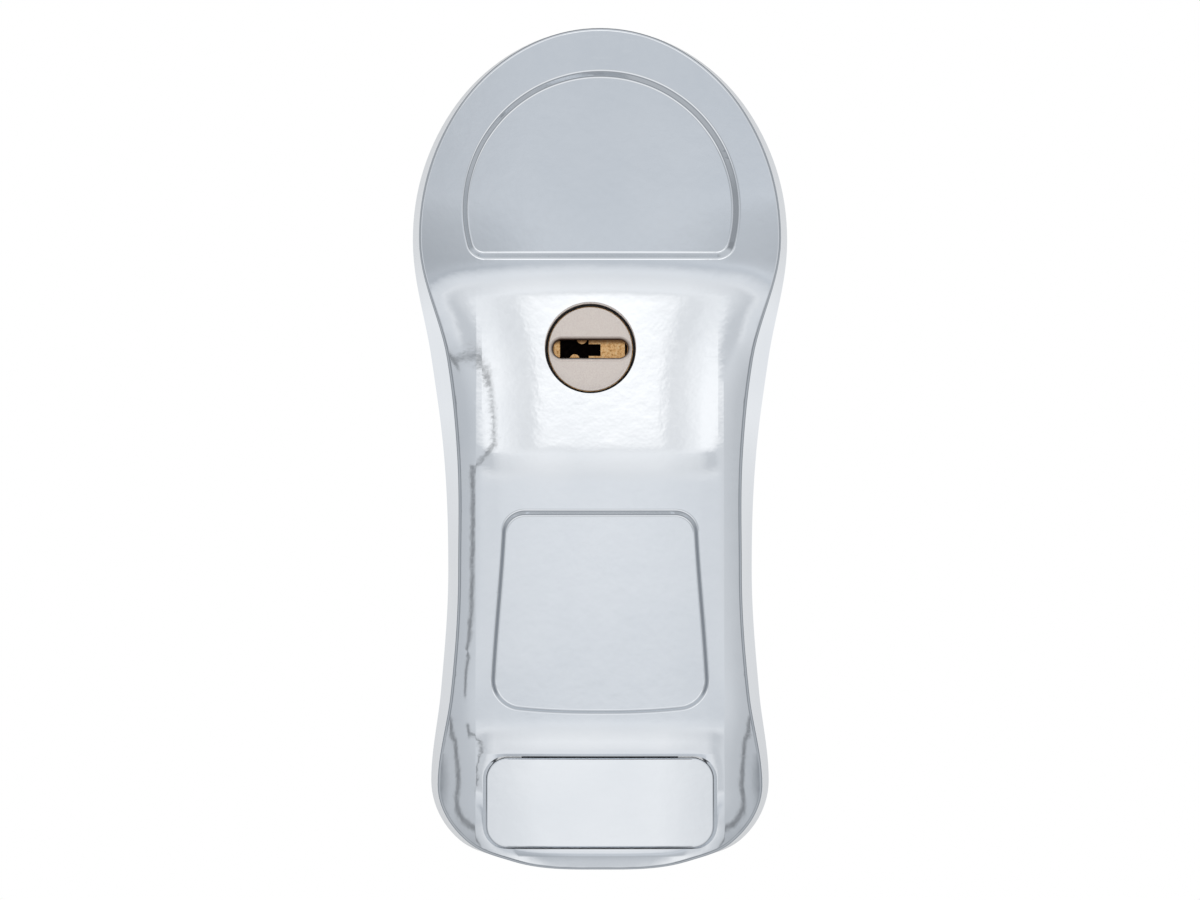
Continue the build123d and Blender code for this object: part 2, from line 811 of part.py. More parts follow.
# Latch hook, drawn about its pivot
toe_y = bar_rear + toe_gap + toe_radius - pivot_y
tail_front = toe_y + toe_step
hook_shape = Circle(hook_hub_radius)
hook_shape += make_face(
    Polyline(
        (0, hook_hub_radius),
        (arm_slope_y, arm_slope_z),
        (arm_reach, arm_end_z),
        (arm_reach, throat_roof),
        (arm_reach - nose_length, nose_tip),
        (throat_end + throat_undercut, nose_tip),
        (throat_end, throat_roof),
        (throat_start, throat_roof),
        (0, 0),
        close=True,
    )
)
hook_shape += make_face(
    Polyline(
        (0, 0),
        (-hook_hub_radius, 0),
        (tail_front, -toe_drop + toe_radius),
        (toe_y, -toe_drop + toe_radius),
        (toe_y, -toe_drop - toe_radius),
        (-tail_rear_y, -toe_drop - toe_radius),
        (tail_rear_y, -toe_drop + toe_radius),
        (throat_start, throat_roof),
        close=True,
    )
)
hook_shape += Pos(toe_y, -toe_drop) * Circle(toe_radius)
lug_rear = stop_pin_y - stop_pin_radius - stop_pin_gap
hook_shape += span(lug_rear - lug_length, lug_rear, 0, lug_rise)
hook_shape -= Circle(pivot_radius + pin_gap)
hook = cross_plate(Pos(pivot_y, pivot_z) * hook_shape, -hook_half_thickness, hook_half_thickness)
save(hook, "latch_hook")

# Torsion spring round the right spacer: one leg on the case, one over the hook's arm
spring_left = hook_half_thickness + 2 * side_play
spring_right = cheek_inner - 2 * side_play
coil_left = spring_left - torsion_relief
coil_right = spring_right + torsion_relief
coil_outer = torsion_inner + torsion_wire + torsion_relief
coil_inner = torsion_inner - torsion_relief
torsion = cross_rod(coil_outer, coil_left, coil_right, pivot_y, pivot_z)
torsion -= cross_rod(coil_inner, coil_left - past, coil_right + past, pivot_y, pivot_z)
leg_z = pivot_z + torsion_inner + torsion_wire / 2
leg_x = spring_right - torsion_wire / 2
torsion += rod(torsion_wire / 2, case_thickness, pivot_y, leg_x, leg_z)
leg_x = spring_left + torsion_wire / 2
leg_end = pivot_y + arm_leg_length
torsion += rod(torsion_wire / 2, pivot_y, leg_end, leg_x, leg_z)
torsion += cross_rod(torsion_wire / 2, -hook_half_thickness, leg_x, leg_end, leg_z)
save(torsion, "hook_spring")

lever_ratio = math.radians(hook_angle) / (button_travel / 1000)
print("lift of the bar, mm", round(lift, 3))
print("hook radians per metre of button", round(lever_ratio, 4))
print("bar metres per radian of key", round(lift / 1000 / math.radians(90), 7))
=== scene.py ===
import bpy
import bmesh
import json
import math
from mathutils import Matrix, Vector
from mathutils.kdtree import KDTree


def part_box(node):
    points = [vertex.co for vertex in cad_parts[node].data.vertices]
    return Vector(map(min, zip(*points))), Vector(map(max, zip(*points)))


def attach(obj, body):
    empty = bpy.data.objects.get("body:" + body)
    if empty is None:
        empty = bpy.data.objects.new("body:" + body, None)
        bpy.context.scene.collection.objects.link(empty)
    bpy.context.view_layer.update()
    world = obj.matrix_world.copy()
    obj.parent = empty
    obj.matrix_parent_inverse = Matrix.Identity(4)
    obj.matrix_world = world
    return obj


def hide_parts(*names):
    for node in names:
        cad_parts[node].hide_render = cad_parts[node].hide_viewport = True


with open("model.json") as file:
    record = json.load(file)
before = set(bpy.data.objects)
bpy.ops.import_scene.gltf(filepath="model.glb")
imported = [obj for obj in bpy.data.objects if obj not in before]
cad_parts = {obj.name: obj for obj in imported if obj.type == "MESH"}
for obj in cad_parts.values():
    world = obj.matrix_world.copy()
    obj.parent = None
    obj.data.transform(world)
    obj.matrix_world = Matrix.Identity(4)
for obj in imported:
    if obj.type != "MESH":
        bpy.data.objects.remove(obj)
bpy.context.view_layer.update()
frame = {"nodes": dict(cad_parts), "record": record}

mm = 0.001
X, Y, Z = Vector((1, 0, 0)), Vector((0, 1, 0)), Vector((0, 0, 1))
QUARTER = math.radians(90)

# Material indices. The last one only marks the faces of a front until they are shaded
OUTSIDE, INSIDE, FRONT = 0, 1, 2

# The camera looks straight at the front. A pixel of its picture shows this much at the origin
camera_distance = 1.3
photo_scale = 0.179 * mm
picture_width = 1200


# Small helpers for work in edit mode


def deselect():
    if bpy.context.object and bpy.context.object.mode != "OBJECT":
        bpy.ops.object.mode_set(mode="OBJECT")
    bpy.ops.object.select_all(action="DESELECT")


def select_only(piece):
    deselect()
    piece.select_set(True)
    bpy.context.view_layer.objects.active = piece


def work_on(piece):
    """Makes this the only selected piece and opens it for editing with nothing selected."""
    select_only(piece)
    bpy.ops.object.mode_set(mode="EDIT")
    bpy.ops.mesh.select_all(action="DESELECT")


def select_whole():
    bpy.ops.mesh.select_all(action="SELECT")


def leave():
    bpy.ops.object.mode_set(mode="OBJECT")


def pick(piece, kind, wanted):
    """Selects the faces, edges or points that are wanted."""
    bpy.ops.mesh.select_mode(type=kind)
    bpy.ops.mesh.select_all(action="DESELECT")
    mesh = bmesh.from_edit_mesh(piece.data)
    for part in {"FACE": mesh.faces, "EDGE": mesh.edges, "VERT": mesh.verts}[kind]:
        part.select_set(bool(wanted(part)))
    mesh.select_flush_mode()
    bmesh.update_edit_mesh(piece.data)


def settle(piece):
    """Puts the piece's place into its mesh."""
    select_only(piece)
    bpy.ops.object.transform_apply(location=True, rotation=True, scale=True)


def named(name):
    piece = bpy.context.object
    piece.name = name
    piece.data.name = name
    settle(piece)
    return piece


def cut(piece, tool, how="DIFFERENCE"):
    """Cuts, joins or intersects a piece with a tool and removes the tool."""
    change = piece.modifiers.new("cut", "BOOLEAN")
    change.operation = how
    change.solver = "EXACT"
    change.material_mode = "INDEX"
    change.object = tool
    select_only(piece)
    bpy.ops.object.modifier_apply(modifier=change.name)
    bpy.data.objects.remove(tool)
    return piece


def round_bar(name, radius, length, middle, turn, around=16):
    """A round bar in millimetres, which lies along Z until it is turned."""
    deselect()
    bpy.ops.mesh.primitive_cylinder_add(
        vertices=around,
        radius=radius * mm,
        depth=length * mm,
        location=[value * mm for value in middle],
        rotation=turn,
    )
    return named(name)


def rod(name, radius, front, rear, x, z, around=64):
    """A round bar along Y, in millimetres."""
    middle = (x, (front + rear) / 2, z)
    return round_bar(name, radius, rear - front, middle, (QUARTER, 0, 0), around)


def slab(name, x0, x1, y0, y1, z0, z1):
    deselect()
    bpy.ops.mesh.primitive_cube_add(
        size=1,
        location=((x0 + x1) / 2 * mm, (y0 + y1) / 2 * mm, (z0 + z1) / 2 * mm),
        scale=((x1 - x0) * mm, (y1 - y0) * mm, (z1 - z0) * mm),
    )
    return named(name)


def rounded_slab(name, half_x, half_z, front, rear, z, corner, steps=10, x=0):
    """A slab with rounded corners, seen from the front."""
    piece = slab(name, x - half_x, x + half_x, front, rear, z - half_z, z + half_z)
    work_on(piece)
    pick(piece, "EDGE", lambda e: abs((e.verts[0].co - e.verts[1].co).normalized().y) > 0.9)
    bpy.ops.mesh.bevel(offset=corner * mm, segments=steps, affect="EDGES")
    leave()
    return piece


def corners_of(piece):
    places = [point.co for point in piece.data.vertices]
    low = Vector([min(place[i] for place in places) for i in range(3)])
    high = Vector([max(place[i] for place in places) for i in range(3)])
    return low, high


def new_line(name, kind, count, detail=12):
    """A curve with one line of this many points, at nought as yet."""
    curve = bpy.data.curves.new(name, "CURVE")
    curve.dimensions = "3D"
    curve.resolution_u = detail
    line = curve.splines.new(kind)
    (line.points if kind == "POLY" else line.bezier_points).add(count - 1)
    return curve, line


def as_mesh(name, curve):
    piece = bpy.data.objects.new(name, curve)
    bpy.context.scene.collection.objects.link(piece)
    select_only(piece)
    bpy.ops.object.convert(target="MESH")
    return bpy.context.object


def turned(name, profile, x, z, around=48):
    """A turned body round an axis along Y, from its profile as radii and depths in millimetres."""
    curve, line = new_line(name, "POLY", len(profile))
    for point, (radius, y) in zip(line.points, profile):
        point.co = ((x + radius) * mm, y * mm, z * mm, 1)
    piece = as_mesh(name, curve)
    work_on(piece)
    select_whole()
    bpy.ops.mesh.spin(steps=around, angle=math.radians(360), center=(x * mm, 0, z * mm), axis=Y)
    select_whole()
    bpy.ops.mesh.remove_doubles(threshold=0.001 * mm)
    bpy.ops.mesh.normals_make_consistent(inside=False)
    leave()
    return piece


def ease_edges(piece, width, steps=2):
    change = piece.modifiers.new("ease", "BEVEL")
    change.width = width * mm
    change.segments = steps
    change.limit_method = "ANGLE"
    change.angle_limit = math.radians(35)
    change.use_clamp_overlap = True
    select_only(piece)
    bpy.ops.object.modifier_apply(modifier=change.name)
    return piece


def dressed(node, name, width, steps):
    """A copy of a CAD piece with its points merged, its flats made whole and its edges eased."""
    piece = bpy.data.objects.new(name, frame["nodes"][node].data.copy())
    piece.data.materials.clear()
    bpy.context.scene.collection.objects.link(piece)
    work_on(piece)
    select_whole()
    bpy.ops.mesh.remove_doubles(threshold=0.001 * mm)
    select_whole()
    bpy.ops.mesh.dissolve_limited(angle_limit=math.radians(0.5))
    leave()
    ease_edges(piece, width, steps)
    smooth(piece, 30, flats_first=True)
    return piece


def fitted(piece, finish, body, slot, *nodes):
    """Gives a piece its finish, its body and the CAD nodes that it stands for."""
    if not piece.data.materials:
        piece.data.materials.append(finish)
    piece.data.materials[0] = finish
    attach(piece, body)
    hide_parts(*nodes)
    return piece


def joined(name, pieces):
    """Makes one piece of several, in the place of the first."""
    select_only(pieces[0])
    for piece in pieces[1:]:
        piece.select_set(True)
    bpy.ops.object.join()
    return named(name)


def smooth(piece, angle=30, flats_first=False):
    """Smooth shading up to an angle. With flats first, a large face keeps its own direction.
    Faces marked as front are shaded apart from their rounded rims, and are unmarked here."""
    work_on(piece)
    pick(piece, "EDGE", lambda e: len({f.material_index == FRONT for f in e.link_faces}) == 2)
    bpy.ops.mesh.mark_sharp()
    leave()
    for face in piece.data.polygons:
        if face.material_index == FRONT:
            face.material_index = OUTSIDE
    select_only(piece)
    bpy.ops.object.shade_smooth_by_angle(angle=math.radians(angle), keep_sharp_edges=True)
    if flats_first:
        change = piece.modifiers.new("flats", "WEIGHTED_NORMAL")
        change.keep_sharp = True
        bpy.ops.object.modifier_apply(modifier=change.name)


# Housing outline: half widths and heights in millimetres, with how the line runs there

dome_steps = (30, 60)
outline_points = [
    (0, -74.95, "across"),
    (17.3, -73.55, "free"),
    (25.1, -70.3, "free"),
    (30.2, -59.6, "up"),
    (28.45, -43.5, "free"),
    (27.15, -22, "up"),
    (28.0, -0.5, "free"),
    (30.1, 15.6, "free"),
    (33.5, 37, "up"),
]
top_z, boss_z = 74.97, 37

# How far the side walls lean out over this depth, by height
wall_leans = {-59.6: 1.8, -43.5: 2.7, -22: 2.9, -0.5: 4.1, 15.6: 5.4, 37: 2.9}
lean_over = 27

# The same for the foot, aside and upwards, and for the top of the dome
foot_lean, dome_lean = (2, 0.8), 1.4

# Which way an inset moves the points of the foot, by their half widths
foot_z = -70
foot_insets = {0: (0, 1), 17.3: (0.3, 0.95), 25.1: (0.75, 0.66)}

# Front surface: boss, ramp, pad and foot, as heights and depths with the reach of each bend
flat_front = -13.0
front_stations = [(30, flat_front, 3.5), (-3, -18.52, 3.5), (-50, -21.81, 2.2)]
foot_tilt = math.radians(9)
block_top, block_low = 82, -85


def front_depth(z):
    """Depth of the front surface at a height, without its bends."""
    last_z, last_y, _ = front_stations[-1]
    foot_end = (block_low, last_y - (last_z - block_low) * math.tan(foot_tilt), 0)
    stations = front_stations + [foot_end]
    if z >= stations[0][0]:
        return stations[0][1]
    for upper, lower in zip(stations, stations[1:]):
        if z >= lower[0]:
            share = (upper[0] - z) / (upper[0] - lower[0])
            return upper[1] + share * (lower[1] - upper[1])


def bent_depth(z):
    """Depth of the front surface at a height, with its bends rounded."""
    for centre, depth, reach in front_stations:
        if abs(z - centre) < reach:
            start, end = front_depth(centre + reach), front_depth(centre - reach)
            share = (centre + reach - z) / (2 * reach)
            return (1 - share) ** 2 * start + 2 * share * (1 - share) * depth + share**2 * end
    return front_depth(z)


def side_points(inset, depth):
    """The right-hand side of the outline, from bottom to top, at one depth or at the front."""
    side = []
    for x, z, run in outline_points:
        lean = -(front_depth(z) if depth is None else depth) / lean_over
        if z <= foot_z:
            share_x, share_z = foot_insets[x]
            moved_x = x - inset * share_x - (foot_lean[0] * lean if x else 0)
            side.append((moved_x, z + inset * share_z + foot_lean[1] * lean, run))
        else:
            side.append((x - inset - wall_leans[z] * lean, z, run))
    wide = side[-1][0]
    rise = top_z - inset - dome_lean * lean - boss_z
    for angle in dome_steps:
        turn = math.radians(angle)
        along = Vector((-wide * math.sin(turn), rise * math.cos(turn)))
        side.append((wide * math.cos(turn), boss_z + rise * math.sin(turn), along))
    side.append((0, boss_z + rise, "across"))
    return side


def both_sides(right):
    """Adds the left-hand side of a line that runs up the right, from bottom to top."""
    points = [(Vector((x, z)), run) for x, z, run in right]
    for x, z, run in reversed(right[1:-1]):
        if isinstance(run, Vector):
            run = Vector((run.x, -run.y))
        elif run == "up":
            run = "down"
        points.append((Vector((-x, z)), run))
    return points


# The distance to the next point, as a multiple of the length of a curve's handle
handle_share = 2.9


def ring(name, points, depth, detail=12):
    """A closed smooth line through points at one depth, drawn as a curve and made a mesh."""
    count = len(points)
    curve, line = new_line(name, "BEZIER", count, detail)
    line.use_cyclic_u = True
    for i, (place, run) in enumerate(points):
        before, after = points[i - 1][0], points[(i + 1) % count][0]
        if isinstance(run, Vector):
            along = run
        elif run == "up":
            along = Vector((0, 1))
        elif run == "down":
            along = Vector((0, -1))
        elif run == "across":
            along = Vector((math.copysign(1, after.x - before.x), 0))
        else:
            back, on = place - before, after - place
            along = back / back.length**2 + on / on.length**2
        along = along.normalized()
        knot = line.bezier_points[i]
        knot.handle_left_type = knot.handle_right_type = "FREE"
        knot.co = (place.x * mm, depth * mm, place.y * mm)
        left = place - along * (place - before).length / handle_share
        right = place + along * (after - place).length / handle_share
        knot.handle_left = (left.x * mm, depth * mm, left.y * mm)
        knot.handle_right = (right.x * mm, depth * mm, right.y * mm)
    return as_mesh(name, curve)


def between(name, near, far, front, rear):
    """A solid between two rings of as many points, one at the rear and one in front."""
    piece = joined(name, [near, far])
    work_on(piece)
    bpy.ops.mesh.select_mode(type="EDGE")
    select_whole()
    bpy.ops.mesh.bridge_edge_loops()
    for depth in (front, rear):
        pick(piece, "EDGE", lambda e: all(abs(v.co.y - depth * mm) < 0.01 * mm for v in e.verts))
        bpy.ops.mesh.edge_face_add()
    select_whole()
    bpy.ops.mesh.normals_make_consistent(inside=False)
    leave()
    return piece


def outline_body(name, inset, front, rear, at_front=None):
    """A solid between two outlines, drawn in by an even inset and by the walls' lean."""
    near = ring(name, both_sides(side_points(inset, 0)), rear)
    far = ring(name + "_front", both_sides(side_points(inset, at_front)), front)
    return between(name, near, far, front, rear)


def front_block(name, sunk, bend_steps=8):
    """A block that fills all behind the front surface, sunk by this much."""
    first_z, first_y, _ = front_stations[0]
    piece = slab(name, -40, 40, first_y + sunk, 8, first_z, block_top)
    work_on(piece)
    last_z, last_y = first_z, first_y
    for z, y in [s[:2] for s in front_stations[1:]] + [(block_low, front_depth(block_low))]:
        pick(piece, "FACE", lambda f: f.normal.z < -0.9)
        bpy.ops.mesh.extrude_region_move(
            TRANSFORM_OT_translate={"value": (0, 0, (z - last_z) * mm)}
        )
        pick(
            piece,
            "VERT",
            lambda v: abs(v.co.z - z * mm) < 0.01 * mm
            and abs(v.co.y - (last_y + sunk) * mm) < 0.01 * mm,
        )
        bpy.ops.transform.translate(value=(0, (y - last_y) * mm, 0))
        last_z, last_y = z, y
    for z, y, reach in front_stations:
        pick(
            piece,
            "EDGE",
            lambda e: all(
                abs(v.co.z - z * mm) < 0.01 * mm and abs(v.co.y - (y + sunk) * mm) < 0.05 * mm
                for v in e.verts
            ),
        )
        bpy.ops.mesh.bevel(offset=reach * mm, segments=bend_steps, affect="EDGES")
    leave()
    return piece


def round_edges(piece, wanted, radius, steps):
    work_on(piece)
    pick(piece, "EDGE", wanted)
    bpy.ops.mesh.bevel(offset=radius * mm, segments=steps, affect="EDGES", clamp_overlap=False)
    leave()


# Outlines of the recesses


def arc_points(cx, cz, radius, first, last, steps):
    """Points round an arc, each with the way the line runs there."""
    points = []
    for i in range(steps + 1):
        turn = math.radians(first + (last - first) * i / steps)
        across, up = math.cos(turn), math.sin(turn)
        points.append((cx + radius * across, cz + radius * up, Vector((-up, across))))
    return points


dial_z, dial_radius, dial_flat, dial_corner = 42.15, 23.55, 34.4, 2.2


def dial_points(grow):
    """The D of the round recess."""
    radius, corner = dial_radius + grow, dial_corner + grow
    low = dial_flat - 0.95 * grow
    corner_z = low + corner
    corner_x = math.sqrt((radius - corner) ** 2 - (corner_z - dial_z) ** 2)
    start = math.degrees(math.atan2(corner_z - dial_z, corner_x))
    right = [(0, low, "across")]
    right += arc_points(corner_x, corner_z, corner, -90, start, 3)
    right += arc_points(0, dial_z, radius, start, 90, 6)[1:]
    return both_sides(right)


pad_top, pad_bottom = -12.0, -45.9


def pad_points(grow):
    """The thumb pad, a little wider at its lower end, which bows down."""
    wide, narrow = 18.55 + grow, 16.7 + grow
    low, top = pad_bottom - grow, pad_top + grow
    low_corner, top_corner = 4.8 + grow, 3.4 + grow
    slant = math.degrees(math.atan2(wide - narrow, top - low))
    right = [(0, low - 0.6, "across")]
    right += arc_points(wide - low_corner, low + low_corner, low_corner, -84, slant, 4)
    right += arc_points(narrow - top_corner, top - top_corner, top_corner, slant, 90, 4)
    right += [(0, top, "across")]
    return both_sides(right)


def recess_tool(name, points, floor, mouth, widen, shift):
    """A tool whose walls slope out from a recess's floor to well above its mouth.
    The mouth may be shifted aside or up."""
    above = 1.5
    slope = widen / (floor - mouth)
    near = ring(name, points(0), floor)
    outer = [(place + Vector(shift), run) for place, run in points(widen + slope * above)]
    far = ring(name + "_mouth", outer, mouth - above)
    return between(name, near, far, mouth - above, floor)


lock_x, lock_z = -1.7, 17.4
bore_radius = 9.55
boss_wall = 1.5
button_z = -63.4

# The button's opening and its cap: their middle, half widths, half heights and corners
cap_z = button_z + 0.9
hole_x, hole_half_z, hole_corner = 20.6, 8.1, 4.05
cap_x, cap_half_z, cap_corner = 20.05, 7.85, 3.8

# The cap's own lip, behind the housing's wall, and the posts for its screws
cap_lip_front, cap_lip_rear = -11.7, -10.2
post_x, post_z = 4, button_z - 3

# Half the width from which the lip round the opening is measured
rim_x = 20.45

stud_places = [(x, z) for z in (50, -38) for x in (-20.5, 20.5)]
case_screw_places = [(x, z) for z in (36, -51) for x in (-10.4, 10.4)]


def faces_hand(face):
    return face.normal.y < -0.9998


def front_rim(edge):
    """An edge where the flat front, or a recess's floor, meets a wall."""
    if len(edge.link_faces) != 2:
        return False
    one, two = edge.link_faces
    return faces_hand(one) != faces_hand(two) and edge.calc_face_angle() > math.radians(25)


def cut_into_strips(piece, spacing, finer):
    """Cuts the faces that look at the hand into small ones, so that they can bend."""
    work_on(piece)
    low, high = corners_of(piece)
    lines = []
    x = spacing * mm * round(low.x / (spacing * mm))
    while x < high.x:
        lines.append(((x, 0, 0), X))
        x += spacing * mm
    z = low.z
    while z < high.z:
        bending = any(abs(z / mm - s[0]) < s[2] + 0.5 for s in front_stations)
        z += (finer if bending else spacing) * mm
        lines.append(((0, 0, z), Z))
    for far in (0.5, lip_reach):
        lines += [((side * (rim_x + far) * mm, 0, 0), X) for side in (-1, 1)]
        lines += [((0, 0, (cap_z + side * (hole_half_z + far)) * mm), Z) for side in (-1, 1)]
    for place, normal in lines:
        pick(piece, "FACE", faces_hand)
        bpy.ops.mesh.bisect(plane_co=place, plane_no=normal)
    leave()
    for name in ("outside", "inside", "front"):
        piece.data.materials.append(bpy.data.materials.new(name))
    for face in piece.data.polygons:
        face.material_index = FRONT if faces_hand(face) else OUTSIDE


# The front is crowned, and it falls away near its edge: by these at the sides, at the foot's
# middle and at the foot's corners. A low lip runs round the button's opening
crown_radius = 220
roll_reach, roll_drop = 7.0, 1.1
toe_reach, toe_drop = 6, 0.95
foot_reach, foot_drop = 10.5, 2.4
lip_reach, lip_height = 1.4, 0.12

# Heights over which these set in, and half widths for the foot's corners
crown_span, roll_span, foot_span, corner_span = (46, 10), (34, 8), (-42, -60), (12, 25)


def eased(value, low, high):
    share = min(1, max(0, (value - low) / (high - low)))
    return share * share * (3 - 2 * share)


def edge_finder():
    """A finder for the nearest point of the housing's front edge."""
    line = ring("edge_line", both_sides(side_points(0, None)), 0, 24)
    finder = KDTree(len(line.data.vertices))
    for i, point in enumerate(line.data.vertices):
        finder.insert(point.co, i)
    finder.balance()
    bpy.data.objects.remove(line)
    return finder


def beside_button(x, z):
    """How far a place is from the button's opening."""
    out_x = max(0, abs(x) - (rim_x - hole_corner))
    out_z = max(0, abs(z - cap_z) - (hole_half_z - hole_corner))
    return math.hypot(out_x, out_z) - hole_corner


def bend_front(piece, from_depth=8.5, rolled=True):
    """Bends a flat front over the ramp and lets it fall away to its sides."""
    finder = edge_finder()
    for point in piece.data.vertices:
        x, y, z = point.co / mm
        share = min(1, max(0, -y / from_depth))
        crown = (0.35 + 0.65 * eased(z, *crown_span)) * x * x / (2 * crown_radius)
        foot = eased(z, *foot_span)
        aside = eased(abs(x), *corner_span)
        reach = roll_reach + foot * (toe_reach + aside * (foot_reach - toe_reach) - roll_reach)
        drop = roll_drop * eased(z, *roll_span)
        drop += foot * (toe_drop + aside * (foot_drop - toe_drop) - drop)
        near = finder.find((x * mm, 0, z * mm))[2] / mm
        roll = drop * max(0, 1 - near / reach) ** 2
        lip = lip_height * min(1, max(0, 1 - beside_button(x, z) / lip_reach)) ** 2
        crown += roll + lip if rolled else 0.1
        point.co.y += share * (bent_depth(z) - flat_front + crown) * mm


def follow_front(name, half_x, half_z, centre_z, corner, edge):
    """A block with a round-cornered outline and its front bent as the housing's is."""
    piece = rounded_slab(name, half_x, half_z, flat_front, -4, centre_z, corner, 12)
    round_edges(piece, front_rim, edge, 5)
    cut_into_strips(piece, 2, 1)
    bend_front(piece, rolled=False)
    return piece


# Front housing: outside, made with a flat front and bent afterwards

housing = outline_body("housing_shell", 0, flat_front, 0)
round_edges(housing, front_rim, 0.5, 5)
cut(housing, recess_tool("dial_tool", dial_points, flat_front + 1, flat_front, 0.95, (0.5, 0)))
cut(housing, recess_tool("pad_tool", pad_points, flat_front + 0.9, flat_front, 0.55, (0, 0.7)))
round_edges(housing, front_rim, 0.3, 4)
cut(housing, rounded_slab("button_hole", hole_x, hole_half_z, -20, 5, cap_z, hole_corner, 12))
cut_into_strips(housing, 1.1, 0.6)
bend_front(housing)
cut(housing, rod("lock_hole", 8.12, -30, -7.5, lock_x, lock_z + 0.25, 96))

# Front housing: the hollow behind, with its bosses, the button's guide and the gasket's groove

hollow = outline_body("hollow_tool", 5.5, -35, 3, at_front=0)
cut(hollow, front_block("hollow_front", 3, 4), "INTERSECT")
for x, z in stud_places:
    cut(hollow, rod("stud_boss", 5, -11.5, 5, x, z, 48))
for x, z in case_screw_places:
    cut(hollow, rod("screw_boss", 4, front_depth(z) + boss_wall, 5, x, z, 48))
cut(hollow, rod("lock_boss", 13, front_depth(lock_z) + boss_wall, -4, lock_x, lock_z, 96))
cut(hollow, rounded_slab("guide_wall", 22.45, 10.1, -40, cap_lip_front, button_z, 6.05))
for finish in ("outside", "inside"):
    hollow.data.materials.append(bpy.data.materials.new(finish))
for side in hollow.data.polygons:
    side.material_index = INSIDE
cut(housing, hollow)
cut(housing, rounded_slab("lip_room", 21.95, hole_half_z, cap_lip_front, -3, button_z, hole_corner))
cut(housing, rod("seal_seat", 8.1, -11.7, -10.5, lock_x, lock_z, 96))
bore = rod("bore", bore_radius, -11, 5, lock_x, lock_z, 96)
flats = slab("bore_flats", lock_x - 8.25, lock_x + 8.25, -20, 8, lock_z - 12, lock_z + 12)
cut(bore, flats, "INTERSECT")
cut(housing, bore)
for x, z in stud_places:
    cut(housing, rod("stud_hole", 3.45, -9.5, 5, x, z, 48))
for x, z in case_screw_places:
    cut(housing, rod("screw_hole", 2.05, -10, 5, x, z, 32))
groove = outline_body("groove_tool", 1.6, -1.5, 2, at_front=0)
cut(groove, outline_body("groove_core", 3.9, -5, 5, at_front=0))
cut(housing, groove)
smooth(housing, 40, flats_first=True)
housing.data.materials.pop(index=FRONT)

# Push button: a hollow cap with a lip behind and two posts for its screws

button = follow_front("button_cap", cap_x, cap_half_z, cap_z, cap_corner, 0.3)
cut(button, slab("cap_rear", -30, 30, cap_lip_rear, 0, -80, -45))
lip = rounded_slab(
    "cap_lip", 21.55, cap_half_z, cap_lip_front, cap_lip_rear, button_z, cap_corner
)
cut(button, lip, "UNION")
room = rounded_slab("cap_room", 18.45, 6.25, -40, 5, button_z, 2.2)
cut(room, front_block("cap_front", 2.5, 4), "INTERSECT")
for x in (-post_x, post_x):
    cut(room, rod("cap_post", 2.9, -30, cap_lip_rear, x, post_z, 32))
cut(button, room)
for x in (-post_x, post_x):
    cut(button, rod("post_hole", 1.55, -16.2, 0, x, post_z, 24))
smooth(button, 35, flats_first=True)
button.data.materials.pop(index=FRONT)
button.data.materials.pop(index=INSIDE)

# Key plug's face: a thin disc with a rounded slot for the key


def slot_rim(edge):
    """Whether an edge runs round the key slot in front."""
    return front_rim(edge) and all(
        abs(v.co.x - lock_x * mm) < 6.7 * mm and abs(v.co.z - lock_z * mm) < 1.7 * mm
        for v in edge.verts
    )


def disc_rim(edge):
    """Whether an edge runs round the plug in front."""
    return front_rim(edge) and all(
        (v.co - Vector((lock_x, v.co.y / mm, lock_z)) * mm).length > 7.2 * mm for v in edge.verts
    )


face = rod("plug_face_disc", 7.42, -12.9, -11.1, lock_x, lock_z, 96)
cut(face, rounded_slab("key_slot", 6.6, 1.55, -20, 0, lock_z, 1.5, 14, lock_x))
round_edges(face, slot_rim, 0.55, 7)
round_edges(face, disc_rim, 0.1, 3)
smooth(face, 35, flats_first=True)

# A collar in front of the barrel, which shows as a thin ring round the plug

collar = turned(
    "barrel_collar",
    [(7.95, -12.35), (8.05, -12.5), (8.55, -12.5), (8.55, -11), (7.95, -11), (7.95, -12.35)],
    lock_x,
    lock_z,
    96,
)
smooth(collar, 30)

# Springs: coils of round wire


def coil(name, radius, wire, start, end, turns, x, z, along=Y, per_turn=28):
    """A wound spring whose end turns lie close, drawn as a line with a round section."""
    count = int(turns * per_turn)
    curve, line = new_line(name, "POLY", count + 1)
    curve.bevel_depth = wire / 2 * mm
    curve.bevel_resolution = 3
    curve.use_fill_caps = True
    low, high = start + wire / 2, end - wire / 2
    dead = 0.9 / turns
    for i, point in enumerate(line.points):
        share = i / count
        turn = 2 * math.pi * turns * share
        if share < dead:
            run = wire * share / dead
        elif share > 1 - dead:
            run = (high - low) - wire * (1 - share) / dead
        else:
            run = wire + (high - low - 2 * wire) * (share - dead) / (1 - 2 * dead)
        if along == Y:
            place = (x + radius * math.cos(turn), low + run, z + radius * math.sin(turn))
        else:
            place = (low + run, x + radius * math.cos(turn), z + radius * math.sin(turn))
        point.co = (*[value * mm for value in place], 1)
    return as_mesh(name, curve)


low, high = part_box("button_springs")
spring_front, spring_rear = low.y / mm, high.y / mm
spring_x, coil_wire = 12, 0.7


def coil_pair(name, radius, start, end, turns):
    """The same turns of both springs behind the button."""
    places = (-spring_x, spring_x)
    made = [coil("coil", radius, coil_wire, start, end, turns, x, button_z) for x in places]
    pair = joined(name, made)
    smooth(pair, 60)
    return pair


# The springs' slim front turns go with the button, into the wide ones, which leave room for that
wide_front = spring_front + 5.3
button_coils = coil_pair("button_coils", 2.65, wide_front, spring_rear, 4.5)
slim_coils = coil_pair("slim_coils", 1.8, spring_front, wide_front + coil_wire, 3)

